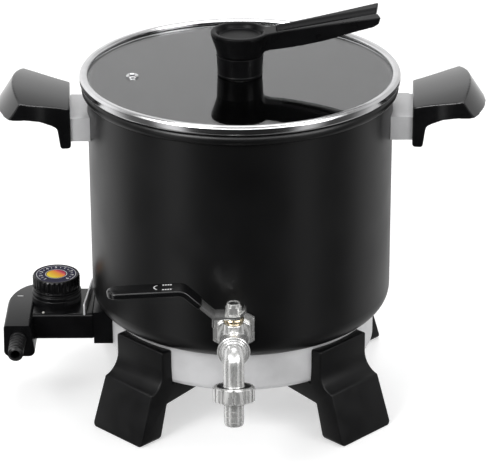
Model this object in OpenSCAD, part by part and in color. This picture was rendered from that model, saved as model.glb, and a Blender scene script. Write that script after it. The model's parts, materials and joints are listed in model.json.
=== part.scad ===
// Candle wax melter: a heated pot with a glass lid, a drain tap and a plug-in heat control.
// The origin is where the pot's axis meets the table. +Z is up, the tap faces -Y and the
// heat control is on the -X side. Millimetres.

/* [Pot] */
// Outer diameter of the pot wall
pot_d = 250; // [240:1:262]
// Thickness of the pot wall
pot_wall = 2.5; // [2:0.1:4]
// Thickness of the pot floor
pot_floor_t = 4; // [3:0.5:8]
// Radius of the rounding between the pot's wall and floor
pot_fillet = 18; // [12:0.5:20]
// Height of the pot from its underside to the top of the rim
pot_h = 197; // [180:1:240]
// Radius of the rolled bead round the rim
rim_bead = 4.6; // [3:0.1:6]

/* [Base] */
// Outer diameter of the metal base pan
base_d = 223; // [216:1:228]
// Height of the base pan
base_h = 33.4; // [32:0.2:40]
// Thickness of the base pan's sheet
base_wall = 1.8; // [1.2:0.1:3]
// Radius of the base pan's lower edge
base_round = 6; // [4:0.5:9]
// Height of the base pan's underside above the table
base_clear = 45; // [38:1:70]
// Diameter of the heat plate under the pot
plate_d = 190; // [170:1:200]
// Thickness of the heat plate
plate_t = 8; // [5:0.5:9]
// Diameter of the heating element's ring, to the middle of the tube
element_d = 150; // [120:1:160]
// Diameter of the heating element's tube
element_tube_d = 8; // [6:0.5:9]
// Diameter of the stud in the middle of the base
stud_d = 8; // [6:0.5:12]

/* [Feet] */
// Width of each foot
foot_w = 55; // [44:1:64]
// Height of a foot's upper end above the base pan's underside
foot_rise = 31; // [24:1:33]
// How far a foot's upper part stands out from the base pan
foot_out = 6.5; // [5:0.5:10]
// How far a foot's knee stands out from the base pan
knee_out = 20; // [15:0.5:20]
// How far a foot's knee lies below the base pan's underside
knee_drop = 2.5; // [1:0.5:6]
// How far a foot's toe stands out from the base pan
toe_out = 34.5; // [26:0.5:40]
// Radius of the hollow sweep above the knee
sweep_r = 16; // [14.5:0.5:24]
// How far a foot's tongue reaches inwards under the base pan
tongue_len = 31.5; // [26:0.5:40]
// Thickness of the tongue at its inner end
tongue_t = 12; // [9:0.5:14]
// How much thicker the tongue is where it meets the leg
gusset_t = 4; // [2:0.5:8]
// Radius of a foot's lower corners
foot_corner = 4; // [2:0.5:6]
// Diameter of the screws that hold the feet
foot_screw_d = 5; // [4:0.5:6]

/* [Side handles] */
// Width of the steel bracket
bracket_w = 56; // [40:1:58]
// Height of the steel bracket
bracket_h = 20; // [18:0.5:24]
// How far the bracket's outer face is from the pot wall
bracket_reach = 15.5; // [11:0.5:20]
// Thickness of the bracket's sheet
bracket_t = 2; // [1.5:0.1:3]
// How far the bracket's top lies below the top of the rim
bracket_drop = 23.4; // [18:0.2:40]
// Width of the grip at the bracket
grip_in_w = 61; // [54:1:66]
// Width of the grip at its widest
grip_w = 82; // [70:1:90]
// How far the grip reaches from the bracket's face to its outer end
grip_len = 59.6; // [54:0.2:70]
// Where the grip is widest, from the bracket's face
grip_wide_at = 43; // [36:0.5:46]
// Radius of the grip's curved outer end, seen from above
grip_end_r = 77; // [60:1:110]
// Height of the grip's upper inner edge above the bracket's top
grip_in_up = 11; // [6:0.5:12]
// Height of the grip's upper outer edge above the bracket's top
grip_out_up = 23; // [16:0.5:25]
// Height of the grip's flat underside above the bracket's top
grip_under_up = 2.5; // [0:0.5:3]
// Thickness of the skirt that covers the bracket's face
skirt_t = 9; // [7:0.5:12]
// How far the skirt reaches below the bracket
skirt_drop = 5.5; // [2:0.5:10]
// Radius of the finger hollow under the grip
finger_r = 17.5; // [14:0.5:20]

/* [Lid] */
// Outer diameter of the lid's steel band
band_d = 262; // [258:0.5:268]
// Width of the band, seen from above
band_w = 6.5; // [5:0.5:9]
// Height of the band
band_h = 7.8; // [6.6:0.2:10]
// Thickness of the glass
glass_t = 3.2; // [3:0.1:4]
// How far the band covers the edge of the glass
glass_hold = 5; // [3.5:0.1:6]
// Outer diameter of the vent eyelet
vent_d = 11.5; // [9:0.5:14]
// Distance of the vent eyelet from the middle of the lid
vent_at = 87.8; // [60:0.2:100]

/* [Lid handle] */
// Diameter of the post at the glass
post_d = 37; // [30:0.5:40]
// Diameter of the post at its top
post_top_d = 38.5; // [34:0.5:42]
// Height of the post
post_h = 17.6; // [14:0.2:24]
// Diameter of the handle's head at its top
head_d = 48.8; // [44:0.2:54]
// Height of the handle's head
head_h = 19.5; // [16:0.5:24]
// Diameter of the recess in the top of the head
head_recess_d = 39; // [32:0.5:41]
// Depth of the recess in the top of the head
head_recess = 4; // [2:0.5:8]
// Length of the handle's arm from the middle of the head
arm_len = 113; // [96:1:130]
// Width of the arm at its root
arm_root_w = 22; // [18:1:26]
// Width of the arm at its end
arm_end_w = 39; // [30:1:44]
// Height that the arm climbs from the top of the head to its end
arm_climb = 17; // [8:0.5:24]
// Thickness of the arm at its end
arm_end_t = 9; // [7:0.5:13]
// Width of the long slot in the arm
slot_w = 5; // [4:0.5:7]
// Start and length of the long slot, from the middle of the head
slot_at = 34; // [31:0.5:38]
slot_len = 57; // [40:1:60]
// Depth of the notch in the arm's end
notch = 3.4; // [1:0.2:8]
// Diameter of the screw that holds the lid handle
lid_screw_d = 6; // [4:0.5:7]

/* [Tap] */
// Sideways place of the tap, from the pot's axis
tap_x = -6; // [-10:0.5:10]
// Height of the tap's axis above the pot's underside
tap_rise = 32.6; // [31:0.2:60]
// Diameter of the threaded nipple through the pot wall
nipple_d = 20.8; // [19:0.1:22]
// Width across the flats of the nipple's hexagon
nipple_af = 33; // [30:0.5:36]
// Thickness of the nipple's hexagon
nipple_hex_t = 5; // [4:0.5:8]
// Thickness of each gasket where the wall is nearest to it
gasket_t = 1.4; // [1:0.1:3]
// Thickness of the nut inside the pot
inner_nut_t = 6; // [5:0.5:9]
// Outer diameter of the tap's body
tap_body_d = 22.4; // [22:0.2:25]
// Length of the tap's body
tap_body_len = 37.6; // [36:0.2:46]
// Diameter of the bore in the tap's body
tap_bore_d = 18; // [17.4:0.1:18.6]
// Diameter of the ball
ball_d = 16.4; // [15.6:0.1:16.8]
// Diameter of the waterway
way_d = 10; // [8:0.5:11]
// Diameter of the neck round the stem
neck_d = 16.5; // [15.5:0.5:19]
// Height of the neck's top above the tap's axis
neck_h = 16.5; // [15.5:0.5:24]
// Height of the gland's head
gland_h = 5.2; // [3:0.2:8]
// Diameter of the stem
stem_d = 6; // [5:0.5:7]
// Diameter of the ring at the front of the tap's body
ring_d = 26; // [25:0.5:30]
// Thickness of the ring at the front of the tap's body
ring_t = 3; // [2:0.5:5]
// Outer diameter of the spout's pipe
spout_d = 16; // [14.5:0.5:17]
// Radius of the spout's bend
bend_r = 9; // [8.8:0.2:14]
// Length of the spout below its bend, down to its threaded collar's underside
spout_drop = 22.8; // [14:0.2:26]
// How far the spout's outlet leans to the front, in degrees
outlet_tilt = 14; // [0:1:20]
// Outer diameter of the fluted hose nut
hose_nut_d = 32.5; // [29:0.5:36]
// Height of the hose nut
hose_nut_h = 12; // [10.6:0.2:18]
// Diameter of the threaded collar inside the hose nut
collar_d = 24.8; // [22:0.2:25.4]
// Outer diameter of the hose tail
tail_d = 15; // [12.4:0.2:15.4]
// Length of the hose tail below the hose nut
tail_len = 20; // [14:0.5:26]

/* [Tap lever] */
// Width of the lever
lever_w = 15; // [12:0.5:18]
// Thickness of the lever
lever_t = 2.4; // [2:0.1:3]
// Length of the lever from the stem to its tip
lever_len = 98; // [80:1:120]
// How far the lever runs level before it climbs
lever_flat = 16; // [13:0.5:20]
// Sideways run of the lever's climb
lever_run = 24; // [16:0.5:30]
// Height of the lever's climb
lever_climb = 22; // [14:0.5:30]
// How much lower the lever's tip is than its knee
lever_sag = 3; // [0:0.5:6]
// Thickness of the sleeve round the lever
sleeve_t = 1.2; // [0.8:0.1:2]
// Width across the flats of the lever's nut
lever_nut_af = 10.6; // [9.5:0.1:13]
// Height of the lever's nut
lever_nut_h = 8.5; // [5:0.5:12]

/* [Heat control] */
// Outer end of the control, from the pot's axis
ctl_end = 197; // [190:0.5:215]
// Width of the arm that holds the cord
ctl_arm_w = 23.5; // [20:0.5:28]
// How far the arm reaches towards the front
ctl_arm_front = 53; // [44:1:64]
// How far the arm reaches towards the back
ctl_arm_back = 32; // [29:1:40]
// Radius of the arm's outer back corner
ctl_arm_round = 20; // [12:0.5:22]
// Height of the arm
ctl_arm_h = 28; // [24:0.5:32]
// Width of the control's main body
ctl_w = 54; // [50:1:60]
// Height of the control's main body
ctl_h = 23.2; // [21:0.2:27]
// Thickness of the control's shells
ctl_wall = 2.2; // [1.6:0.1:3]
// Width of the socket shroud on the base
shroud_w = 56; // [54:1:66]
// Height of the socket shroud
shroud_h = 28.6; // [26:0.2:31]
// Outer face of the socket shroud, from the pot's axis
shroud_end = 124; // [120:0.5:130]
// Distance between the two terminal pins
pin_gap = 34; // [30:0.5:38]
// Diameter of the terminal pins
pin_d = 4.8; // [4:0.2:5.6]
// Diameter of the heat probe
probe_d = 6.3; // [5:0.1:7]
// Inner end of the heat probe, from the pot's axis
probe_end = 60; // [50:1:76]
// Place of the dial, from the pot's axis
dial_at = 156; // [154:0.5:160]
// Diameter of the dial knob
dial_d = 39.8; // [35:0.2:41]
// Height of the dial knob
dial_h = 11.2; // [9:0.2:15]
// Diameter of the round step under the dial
dial_step_d = 41.6; // [39:0.2:46]
// Height of the round step under the dial
dial_step_h = 12.5; // [8:0.5:15]
// Number of ribs round the dial knob
dial_ribs = 24; // [12:1:36]
// Height of the heat shield above the control's main body
shield_h = 9; // [6:0.5:14]
// Diameter of the strain relief at its root
relief_d = 13; // [10:0.5:15]
// Length of the strain relief
relief_len = 31; // [22:1:36]

/* [Fits] */
// Clearance of pieces that are set into each other
seat_gap = 0.1; // [0.05:0.05:0.2]
// Radial clearance of pieces that turn in each other
turn_gap = 0.06; // [0.03:0.01:0.1]
// Gap between pieces that move past each other
pass_gap = 0.3; // [0.25:0.05:0.5]

/* [Hidden] */
$fn = 96;

pot_r = pot_d / 2;
base_r = base_d / 2;
pot_z = base_clear + base_h;
rim_z = pot_z + pot_h;
black = [0.08, 0.08, 0.085];
steel = [0.78, 0.78, 0.8];
satin = [0.72, 0.72, 0.73];
brass = [0.78, 0.66, 0.38];
pale = [0.9, 0.9, 0.88];
cut = 1;
through = 60;

// heater
plate_z = pot_z - plate_t;
element_z = plate_z - element_tube_d / 2;
pin_y = pin_gap / 2;
plate_r = plate_d / 2;
element_r = element_d / 2;
element_open = asin(pin_y / element_r);
insulator_in = plate_r + 4;
leg_end = insulator_in - 2;
insulator_out = base_r + 1.5;
window_y = pin_y + 7;
window_low = element_z - 8.4;
pin_set = 3;
sleeve_y = 6;
sleeve_low = element_z - 5;
stud_drop = 8;
centre_nut_t = 6.5;

// feet
foot_face = base_r + foot_out;
knee_r = base_r + knee_out;
knee_z = base_clear - knee_drop;
toe_r = base_r + toe_out;
heel_r = base_r + 11.5;
gusset_r = base_r + 3;
sweep_x = foot_face + sweep_r;
sweep_z = knee_z + sqrt(pow(sweep_r, 2) - pow(knee_r - sweep_x, 2));
foot_screw_r = base_r - tongue_len / 2;
foot_head_r = foot_screw_d * 0.9;
foot_head_h = 3;
foot_nut_t = 4;
tongue_cut_z = base_clear - tongue_t / 2 - 1;

// side handles
bracket_top = rim_z - bracket_drop;
bracket_x = pot_r + bracket_reach;
rivet_y = bracket_w * 0.28;
rivet_z = bracket_top - bracket_h / 2;
rivet_r = 2.5;
rivet_head_r = 4.5;
rivet_head_t = 1.8;
rivet_in_x = sqrt(pow(pot_r - pot_wall, 2) - pow(rivet_y + rivet_head_r, 2)) - seat_gap;
grip_screw_r = 2.2;
grip_head_t = 2.4;
bracket_in = 6;
grip_bottom = bracket_top - bracket_h - skirt_drop;
grip_under = bracket_top + grip_under_up;

// lid
band_r = band_d / 2;
lid_z = rim_z + pass_gap;
band_lip = 0.8;
glass_z = lid_z + band_lip;
glass_top = glass_z + glass_t;
glass_r = band_r - band_w + glass_hold;
vent_x = -vent_at * cos(3.3);
vent_y = -vent_at * sin(3.3);
vent_barrel_r = vent_d * 0.3;
vent_flange_t = 1;
post_top = glass_top + post_h;
head_top = post_top + head_h;
washer_r = 13;
washer_t = 1.5;
lid_screw_r = lid_screw_d / 2;
screw_in = 6;
hollow_r = 11;
hollow_up = 9.2;

// tap
tap_z = pot_z + tap_rise;
hex_y = pot_r + gasket_t;
tap_face = hex_y + nipple_hex_t;
tap_front = tap_face + tap_body_len;
nipple_r = nipple_d / 2;
tap_bore = tap_bore_d / 2;
ball_r = ball_d / 2;
way_r = way_d / 2;
way_in = 0.5;
bend_way_r = way_r + 0.3;
stem_y = tap_face + tap_body_len * 0.55;
seat_t = 5;
seat_back = stem_y - ball_r - 2.8;
seat_front = stem_y + ball_r + 2.8;
stem_r = stem_d / 2;
neck_top = tap_z + neck_h;
packing_z = tap_z + tap_bore + 1.5;
packing_r = neck_d / 2 - 2.2;
packing_t = 3;
gland_top = neck_top + gland_h;
lever_z = gland_top + pass_gap;
lever_top = lever_z + lever_t;
stem_top = lever_top + lever_nut_h - 1.4;
ring_face = tap_front + ring_t;
spout_r = spout_d / 2;
spout_bore = spout_r - 2;
bend_z = tap_z - bend_r;
collar_r = collar_d / 2;
collar_h = 5;
collar_z = bend_z - spout_drop;
tail_washer_t = 1.5;
tail_flange_t = 2;
tail_flange_z = collar_z - tail_washer_t - tail_flange_t;
nut_lip = 1.8;
nut_z = tail_flange_z - pass_gap - nut_lip;
tail_r = tail_d / 2;
tail_z = nut_z - tail_len;
tail_bore = tail_r - 2.3;
inner_nut_y = pot_r - pot_wall - gasket_t - 2.4;
nipple_back = inner_nut_y - inner_nut_t - 1;
inner_nut_af = 26;
gasket_r = 15;
ring_pitch = 5.2;
ring_rise = 0.4;
flutes = 12;
flute_r = 1.8;

// heat control: its joint plane is at the height of the terminal pins
ctl_z = element_z;
shroud_low = ctl_z - 17;
shroud_hold = 8;
nose_room = 1;
nose_in = shroud_end - 9;
nose_y = window_y - 1.5;
nose_h = 8;
main_in = shroud_end + pass_gap;
main_low = ctl_z - 13.6;
main_top = main_low + ctl_h;
arm_low = ctl_z - 16.5;
arm_top = arm_low + ctl_arm_h;
arm_in = ctl_end - ctl_arm_w;
main_end = arm_in + 2.5;
step_z = main_top + dial_step_h;
dial_z = step_z + pass_gap;
dial_top = dial_z + dial_h;
disc_t = 0.5;
disc_r = dial_d / 2 - 2;
shaft_r = 3;
thermo_in = dial_at - 14;
thermo_out = dial_at + 14;
thermo_low = ctl_z - 9;
thermo_top = ctl_z + 4;
contact_r = pin_d / 2 + 1.4;
ctl_screw_r = 1.6;
post_r = 3.6;
head_sink = 3;
screw_bite = 6;
screw_edge = 6;
relief_root = 8;
thermo_y = 13;
screw_x = main_in + 14.5;
arm_screw_x = arm_in + 8;
ctl_screws = [[-screw_x, ctl_w / 2 - screw_edge], [-screw_x, -(ctl_w / 2 - screw_edge)],
    [-arm_screw_x, ctl_arm_back - screw_edge - 3], [-arm_screw_x, -(ctl_w / 2 + screw_edge)]];
lamp_r = 2;
lamp_x = -(arm_in - 7.5);
lamp_y = -(ctl_w / 2 - 3.5);
relief_x = -(ctl_end - ctl_arm_w / 2);

// ---- shared shapes ----

// A cylinder along -Y from a point
module along_front(x, y, z, h, r) translate([x, y, z]) rotate([90, 0, 0]) cylinder(h = h, r = r);

// A cylinder along +X from a point
module along_right(x, y, z, h, r) translate([x, y, z]) rotate([0, 90, 0]) cylinder(h = h, r = r);

// A box between two corners
module block(low, high) translate(low) cube(high - low);

// A flat rectangle with round corners, from one corner to the other
module round_rect(x0, x1, y0, y1, r) {
    translate([x0 + r, y0]) square([x1 - x0 - 2 * r, y1 - y0]);
    translate([x0, y0 + r]) square([x1 - x0, y1 - y0 - 2 * r]);
    for (x = [x0 + r, x1 - r], y = [y0 + r, y1 - r])
        translate([x, y]) circle(r = r);
}

// Half section of a vessel with a rounded lower corner, for turning about Z
module vessel_half(r, z0, z1, round_r) {
    translate([0, z0]) square([r - round_r, z1 - z0]);
    translate([0, z0 + round_r]) square([r, z1 - z0 - round_r]);
    translate([r - round_r, z0 + round_r]) circle(r = round_r);
}

// A hexagon with flats to the left and right, along -Y from a point
module hex_front(y, h, af) translate([tap_x, y, tap_z]) rotate([90, 0, 0])
    rotate([0, 0, 30]) cylinder(h = h, r = af / 2 / cos(30), $fn = 6);

// Turns a radial section, in (radius, height), into a bar of the foot's width
module radial_bar(w) rotate([90, 0, 0]) translate([0, 0, -w / 2]) linear_extrude(w) children();

// ---- pot and heater ----

module pot_shell() color(black) difference() {
    rotate_extrude() difference() {
        union() {
            vessel_half(pot_r, pot_z, rim_z - rim_bead, pot_fillet);
            translate([pot_r, rim_z - rim_bead]) circle(r = rim_bead);
        }
        vessel_half(pot_r - pot_wall, pot_z + pot_floor_t, rim_z + cut, pot_fillet - pot_wall);
    }
    along_front(tap_x, -pot_r + through / 2, tap_z, through, nipple_r + seat_gap);
    for (side = [-1, 1], y = [-rivet_y, rivet_y])
        along_right(side * pot_r - through / 2, y, rivet_z, through, rivet_r + seat_gap);
}

module heat_plate() color(satin) translate([0, 0, plate_z]) cylinder(h = plate_t, r = plate_r);

module heating_element() color([0.35, 0.34, 0.33]) {
    translate([0, 0, element_z]) rotate([0, 0, 180 + element_open])
        rotate_extrude(angle = 360 - 2 * element_open)
            translate([element_r, 0]) circle(d = element_tube_d);
    for (side = [-1, 1])
        along_right(-leg_end, side * pin_y, element_z,
            leg_end - element_r * cos(element_open), element_tube_d / 2);
}

module probe_sleeve() color(satin) difference() {
    block([-plate_r, -sleeve_y, sleeve_low], [-probe_end + 2, sleeve_y, plate_z]);
    along_right(-insulator_in, 0, element_z, insulator_in - probe_end + 2 * pass_gap,
        probe_d / 2 + pass_gap);
}

module terminal_pins() color(steel) for (side = [-1, 1])
    along_right(-(shroud_end - pin_set), side * pin_y, element_z,
        shroud_end - pin_set - leg_end, pin_d / 2);

module pin_insulator() color(pale) difference() {
    block([-insulator_out, -window_y + seat_gap, window_low + seat_gap],
        [-insulator_in, window_y - seat_gap, plate_z - seat_gap]);
    for (side = [-1, 1])
        along_right(-insulator_out - cut, side * pin_y, element_z, through, pin_d / 2 + seat_gap);
    along_right(-insulator_out - cut, 0, element_z, through, probe_d / 2 + pass_gap);
}

module base_pan() color(satin) difference() {
    rotate_extrude() difference() {
        vessel_half(base_r, base_clear, pot_z, base_round);
        vessel_half(base_r - base_wall, base_clear + base_wall, pot_z + cut,
            base_round - base_wall);
    }
    block([-base_r - cut, -window_y, window_low], [-base_r + base_h / 2, window_y, plate_z]);
    translate([0, 0, base_clear - cut])
        cylinder(h = base_wall + 2 * cut, r = stud_d / 2 + seat_gap);
    at_feet() translate([foot_screw_r, 0, base_clear - cut])
        cylinder(h = base_wall + 2 * cut, r = foot_screw_d / 2 + seat_gap);
}

module centre_stud() color(steel)
    translate([0, 0, base_clear - stud_drop])
        cylinder(h = plate_z - base_clear + stud_drop, d = stud_d);

module centre_nut() color(steel) translate([0, 0, base_clear - centre_nut_t]) difference() {
    cylinder(h = centre_nut_t, r = stud_d * 0.94, $fn = 6);
    translate([0, 0, -cut]) cylinder(h = centre_nut_t + 2 * cut, r = stud_d / 2 + seat_gap);
}

// The plastic shroud round the terminals, seated on the base pan
module socket_shroud() color(black) difference() {
    block([-shroud_end, -shroud_w / 2, shroud_low],
        [-base_r + shroud_hold, shroud_w / 2, shroud_low + shroud_h]);
    translate([0, 0, base_clear - cut]) cylinder(h = base_h + 3 * cut, r = base_r + seat_gap);
    block([-shroud_end - cut, -window_y, ctl_z - nose_h - nose_room],
        [-base_r + shroud_hold + cut, window_y, ctl_z + nose_h + nose_room]);
}

// ---- feet ----

module at_feet() for (a = [45, 135, 225, 315]) rotate([0, 0, a]) children();

module foot_section() difference() {
    polygon([
        [foot_face, base_clear + foot_rise], [foot_face, sweep_z], [knee_r, knee_z],
        [toe_r, 0], [heel_r, 0], [gusset_r, base_clear - tongue_t - gusset_t],
        [base_r - tongue_len, base_clear - tongue_t], [base_r - tongue_len, base_clear],
        [base_r - base_round, base_clear], [base_r - base_round, base_clear + foot_rise]
    ]);
    translate([sweep_x, sweep_z]) circle(r = sweep_r);
}

// One foot: a leg with a knee, and a tongue that is screwed up under the base pan
module foot(angle) color(black) rotate([0, 0, angle]) difference() {
    intersection() {
        radial_bar(foot_w) foot_section();
        rotate([90, 0, 90]) linear_extrude(toe_r + cut) union() {
            round_rect(-foot_w / 2, foot_w / 2, 0, base_clear, foot_corner);
            translate([-foot_w / 2, base_clear / 2]) square([foot_w, base_clear + foot_rise]);
        }
    }
    translate([0, 0, base_clear]) cylinder(h = base_h, r = base_r + seat_gap);
    translate([foot_screw_r, 0, 0]) cylinder(h = base_clear + cut, r = foot_screw_d / 2 + seat_gap);
    translate([foot_screw_r, 0, 0]) cylinder(h = tongue_cut_z, r = foot_head_r + 2 * seat_gap);
}
module foot_front_left() foot(225);
module foot_front_right() foot(315);
module foot_back_left() foot(135);
module foot_back_right() foot(45);

module foot_screws() color(steel) at_feet() translate([foot_screw_r, 0, 0]) {
    translate([0, 0, tongue_cut_z - foot_head_h]) cylinder(h = foot_head_h, r = foot_head_r);
    translate([0, 0, tongue_cut_z - cut])
        cylinder(h = base_clear + base_wall + foot_nut_t + 2 - tongue_cut_z, d = foot_screw_d);
}

module foot_nuts() color(steel) at_feet() translate([foot_screw_r, 0, base_clear + base_wall])
    difference() {
        cylinder(h = foot_nut_t, r = foot_screw_d * 0.92, $fn = 6);
        translate([0, 0, -cut])
            cylinder(h = foot_nut_t + 2 * cut, r = foot_screw_d / 2 + seat_gap);
    }

// ---- side handles, drawn on the +X side and mirrored for the left ----

module on_side(left) mirror([left ? 1 : 0, 0, 0]) children();

module bracket() color(steel) difference() {
    block([pot_r - bracket_in, -bracket_w / 2, bracket_top - bracket_h],
        [bracket_x, bracket_w / 2, bracket_top]);
    translate([0, 0, bracket_top - bracket_h - cut])
        cylinder(h = bracket_h + 2 * cut, r = pot_r + seat_gap);
    block([pot_r + bracket_t + seat_gap, -bracket_w / 2 + bracket_t, bracket_top - bracket_h - cut],
        [bracket_x - bracket_t, bracket_w / 2 - bracket_t, bracket_top - bracket_t]);
    for (y = [-rivet_y, rivet_y]) {
        along_right(pot_r - 2 * cut, y, rivet_z, bracket_t + 4 * cut, rivet_r + seat_gap);
        along_right(bracket_x - bracket_t - cut, y, rivet_z, bracket_t + 2 * cut,
            grip_screw_r + seat_gap);
    }
}
module bracket_left() on_side(true) bracket();
module bracket_right() on_side(false) bracket();

module bracket_rivets() color(steel) for (left = [true, false], y = [-rivet_y, rivet_y])
    on_side(left) {
        along_right(rivet_in_x - cut, y, rivet_z,
            pot_r + bracket_t + seat_gap + 2 * cut - rivet_in_x, rivet_r);
        along_right(pot_r + bracket_t + seat_gap, y, rivet_z, rivet_head_t, rivet_head_r);
        along_right(rivet_in_x - rivet_head_t, y, rivet_z, rivet_head_t, rivet_head_r);
    }

module grip_section() difference() {
    polygon([
        [bracket_x, grip_bottom], [bracket_x + skirt_t, grip_bottom],
        [bracket_x + skirt_t, grip_under - finger_r],
        [bracket_x + skirt_t + finger_r, grip_under],
        [bracket_x + grip_len - 3, grip_under], [bracket_x + grip_len, grip_under + 2.5],
        [bracket_x + grip_wide_at, bracket_top + grip_out_up],
        [bracket_x, bracket_top + grip_in_up]
    ]);
    translate([bracket_x + skirt_t + finger_r, grip_under - finger_r]) circle(r = finger_r);
}

module grip_plan() intersection() {
    polygon([
        [bracket_x, -grip_in_w / 2], [bracket_x + grip_wide_at, -grip_w / 2],
        [bracket_x + grip_len + cut, -grip_w / 2], [bracket_x + grip_len + cut, grip_w / 2],
        [bracket_x + grip_wide_at, grip_w / 2], [bracket_x, grip_in_w / 2]
    ]);
    translate([bracket_x + grip_len - grip_end_r, 0]) circle(r = grip_end_r);
}

module grip() color(black) difference() {
    intersection() {
        radial_bar(grip_w + 2) grip_section();
        translate([0, 0, grip_bottom - cut])
            linear_extrude(bracket_top + grip_out_up + 2 * cut - grip_bottom) grip_plan();
    }
    for (y = [-rivet_y, rivet_y])
        along_right(bracket_x - cut, y, rivet_z, skirt_t - 2 + cut, grip_screw_r + seat_gap);
}
module grip_left() on_side(true) grip();
module grip_right() on_side(false) grip();

module grip_screws() color(steel) for (left = [true, false], y = [-rivet_y, rivet_y])
    on_side(left) {
        along_right(bracket_x - bracket_t - grip_head_t, y, rivet_z, grip_head_t,
            grip_screw_r * 1.9);
        along_right(bracket_x - bracket_t - cut, y, rivet_z,
            bracket_t + skirt_t - 3.5 + cut, grip_screw_r);
    }

// ---- lid ----

module lid_glass() color([0.35, 0.36, 0.37]) difference() {
    translate([0, 0, glass_z]) cylinder(h = glass_t, r = glass_r);
    translate([vent_x, vent_y, glass_z - cut])
        cylinder(h = glass_t + 2 * cut, r = vent_barrel_r + seat_gap);
    translate([0, 0, glass_z - cut]) cylinder(h = glass_t + 2 * cut, r = lid_screw_r + seat_gap);
}

module lid_band() color(steel) rotate_extrude() difference() {
    round_rect(band_r - band_w, band_r, lid_z, lid_z + band_h, 2.2);
    translate([0, glass_z]) square([glass_r + seat_gap, glass_t]);
    translate([band_r - band_w - cut, lid_z - cut])
        square([glass_hold - 1.5, glass_z - lid_z + cut]);
}

module vent_eyelet() color(steel) translate([vent_x, vent_y, 0]) difference() {
    union() {
        translate([0, 0, glass_z]) cylinder(h = glass_t, r = vent_barrel_r);
        translate([0, 0, glass_top]) cylinder(h = vent_flange_t, d1 = vent_d, d2 = vent_d - 1.6);
        translate([0, 0, glass_z - vent_flange_t]) cylinder(h = vent_flange_t, d = vent_d - 2);
    }
    translate([0, 0, glass_z - vent_flange_t - cut])
        cylinder(h = glass_t + 2 * vent_flange_t + 2 * cut, r = vent_barrel_r - 1.2);
}

module handle_post() color(black) difference() {
    translate([0, 0, glass_top]) cylinder(h = post_h, d1 = post_d, d2 = post_top_d);
    translate([0, 0, glass_top - cut]) cylinder(h = post_h + 2 * cut, r = lid_screw_r + seat_gap);
}

// Outline of the lid handle's arm from the side, in (length, height)
module arm_section() polygon([
    [0, post_top], [post_top_d / 2, post_top], [slot_at - 3, post_top + head_h * 0.31],
    [arm_len * 0.63, head_top + arm_climb * 0.74 - arm_end_t * 1.75],
    [arm_len - 5, head_top + arm_climb - arm_end_t], [arm_len, head_top + arm_climb],
    [slot_at, head_top + 2.4], [head_d / 2 - 3, head_top], [0, head_top]
]);

module arm_plan() difference() {
    polygon([
        [0, -arm_root_w / 2], [slot_at - 3, -arm_root_w / 2 + 1], [arm_len * 0.8, -arm_end_w / 2 + 3],
        [arm_len, -arm_end_w / 2], [arm_len - notch, 0], [arm_len, arm_end_w / 2],
        [arm_len * 0.8, arm_end_w / 2 - 3], [slot_at - 3, arm_root_w / 2 - 1], [0, arm_root_w / 2]
    ]);
    round_rect(slot_at, slot_at + slot_len, -slot_w / 2, slot_w / 2, slot_w / 2 - 0.01);
}

// The hollow along the top of the arm, open at its end
module arm_hollow() translate([slot_at - 6, 0, head_top + hollow_up])
    rotate([0, 90 - atan((arm_climb - 2.4) / (arm_len - slot_at)), 0])
        cylinder(h = arm_len, r = hollow_r);

module lid_handle() color(black) difference() {
    union() {
        translate([0, 0, post_top]) cylinder(h = head_h, d1 = post_top_d - 1, d2 = head_d);
        intersection() {
            radial_bar(arm_end_w + 2) arm_section();
            translate([0, 0, post_top - cut]) linear_extrude(head_h + arm_climb + 2 * cut) arm_plan();
        }
    }
    translate([0, 0, head_top - head_recess]) cylinder(h = head_recess + cut, d = head_recess_d);
    translate([0, 0, post_top - cut])
        cylinder(h = screw_in + 2 + cut, r = lid_screw_r + seat_gap);
    arm_hollow();
}

module handle_screw() color(steel) {
    translate([0, 0, glass_z - washer_t - 3]) cylinder(h = 3, r = lid_screw_r * 1.9);
    translate([0, 0, glass_z - washer_t - cut])
        cylinder(h = washer_t + glass_t + post_h + screw_in + cut, r = lid_screw_r);
}

module handle_washer() color(pale) translate([0, 0, glass_z - washer_t]) difference() {
    cylinder(h = washer_t, r = washer_r);
    translate([0, 0, -cut]) cylinder(h = washer_t + 2 * cut, r = lid_screw_r + seat_gap);
}

// Small cross pins at both ends of the arm's slot
module slot_pins() color(steel) for (end = [slot_at + 4.2, slot_at + slot_len - 4.2])
    along_front(end, slot_w / 2, pin_height(end), slot_w, 1.3);

function pin_height(x) = head_top - 5.2 + (arm_climb - 2.4) * (x - slot_at) / (arm_len - slot_at);

// ---- tap ----

module tap_nipple() color(steel) difference() {
    union() {
        hex_front(-hex_y, nipple_hex_t, nipple_af);
        along_front(tap_x, -nipple_back, tap_z, hex_y - nipple_back + cut, nipple_r);
        along_front(tap_x, -tap_face + cut, tap_z, seat_back - tap_face + cut,
            tap_bore - seat_gap);
    }
    along_front(tap_x, -nipple_back + cut, tap_z, seat_back - nipple_back + 3 * cut, way_r);
}

module gasket_disc(y0, y1, r) difference() {
    along_front(tap_x, -y0, tap_z, y1 - y0, r);
    along_front(tap_x, -y0 + cut, tap_z, y1 - y0 + 2 * cut, nipple_r + seat_gap);
}

module outer_gasket() color(pale) difference() {
    gasket_disc(pot_r - 4, hex_y, gasket_r);
    translate([0, 0, tap_z - through / 2]) cylinder(h = through, r = pot_r + seat_gap, $fn = 720);
}

module inner_gasket() color(pale) intersection() {
    gasket_disc(inner_nut_y, pot_r, gasket_r - 1.5);
    translate([0, 0, tap_z - through / 2])
        cylinder(h = through, r = pot_r - pot_wall - seat_gap, $fn = 720);
}

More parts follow.
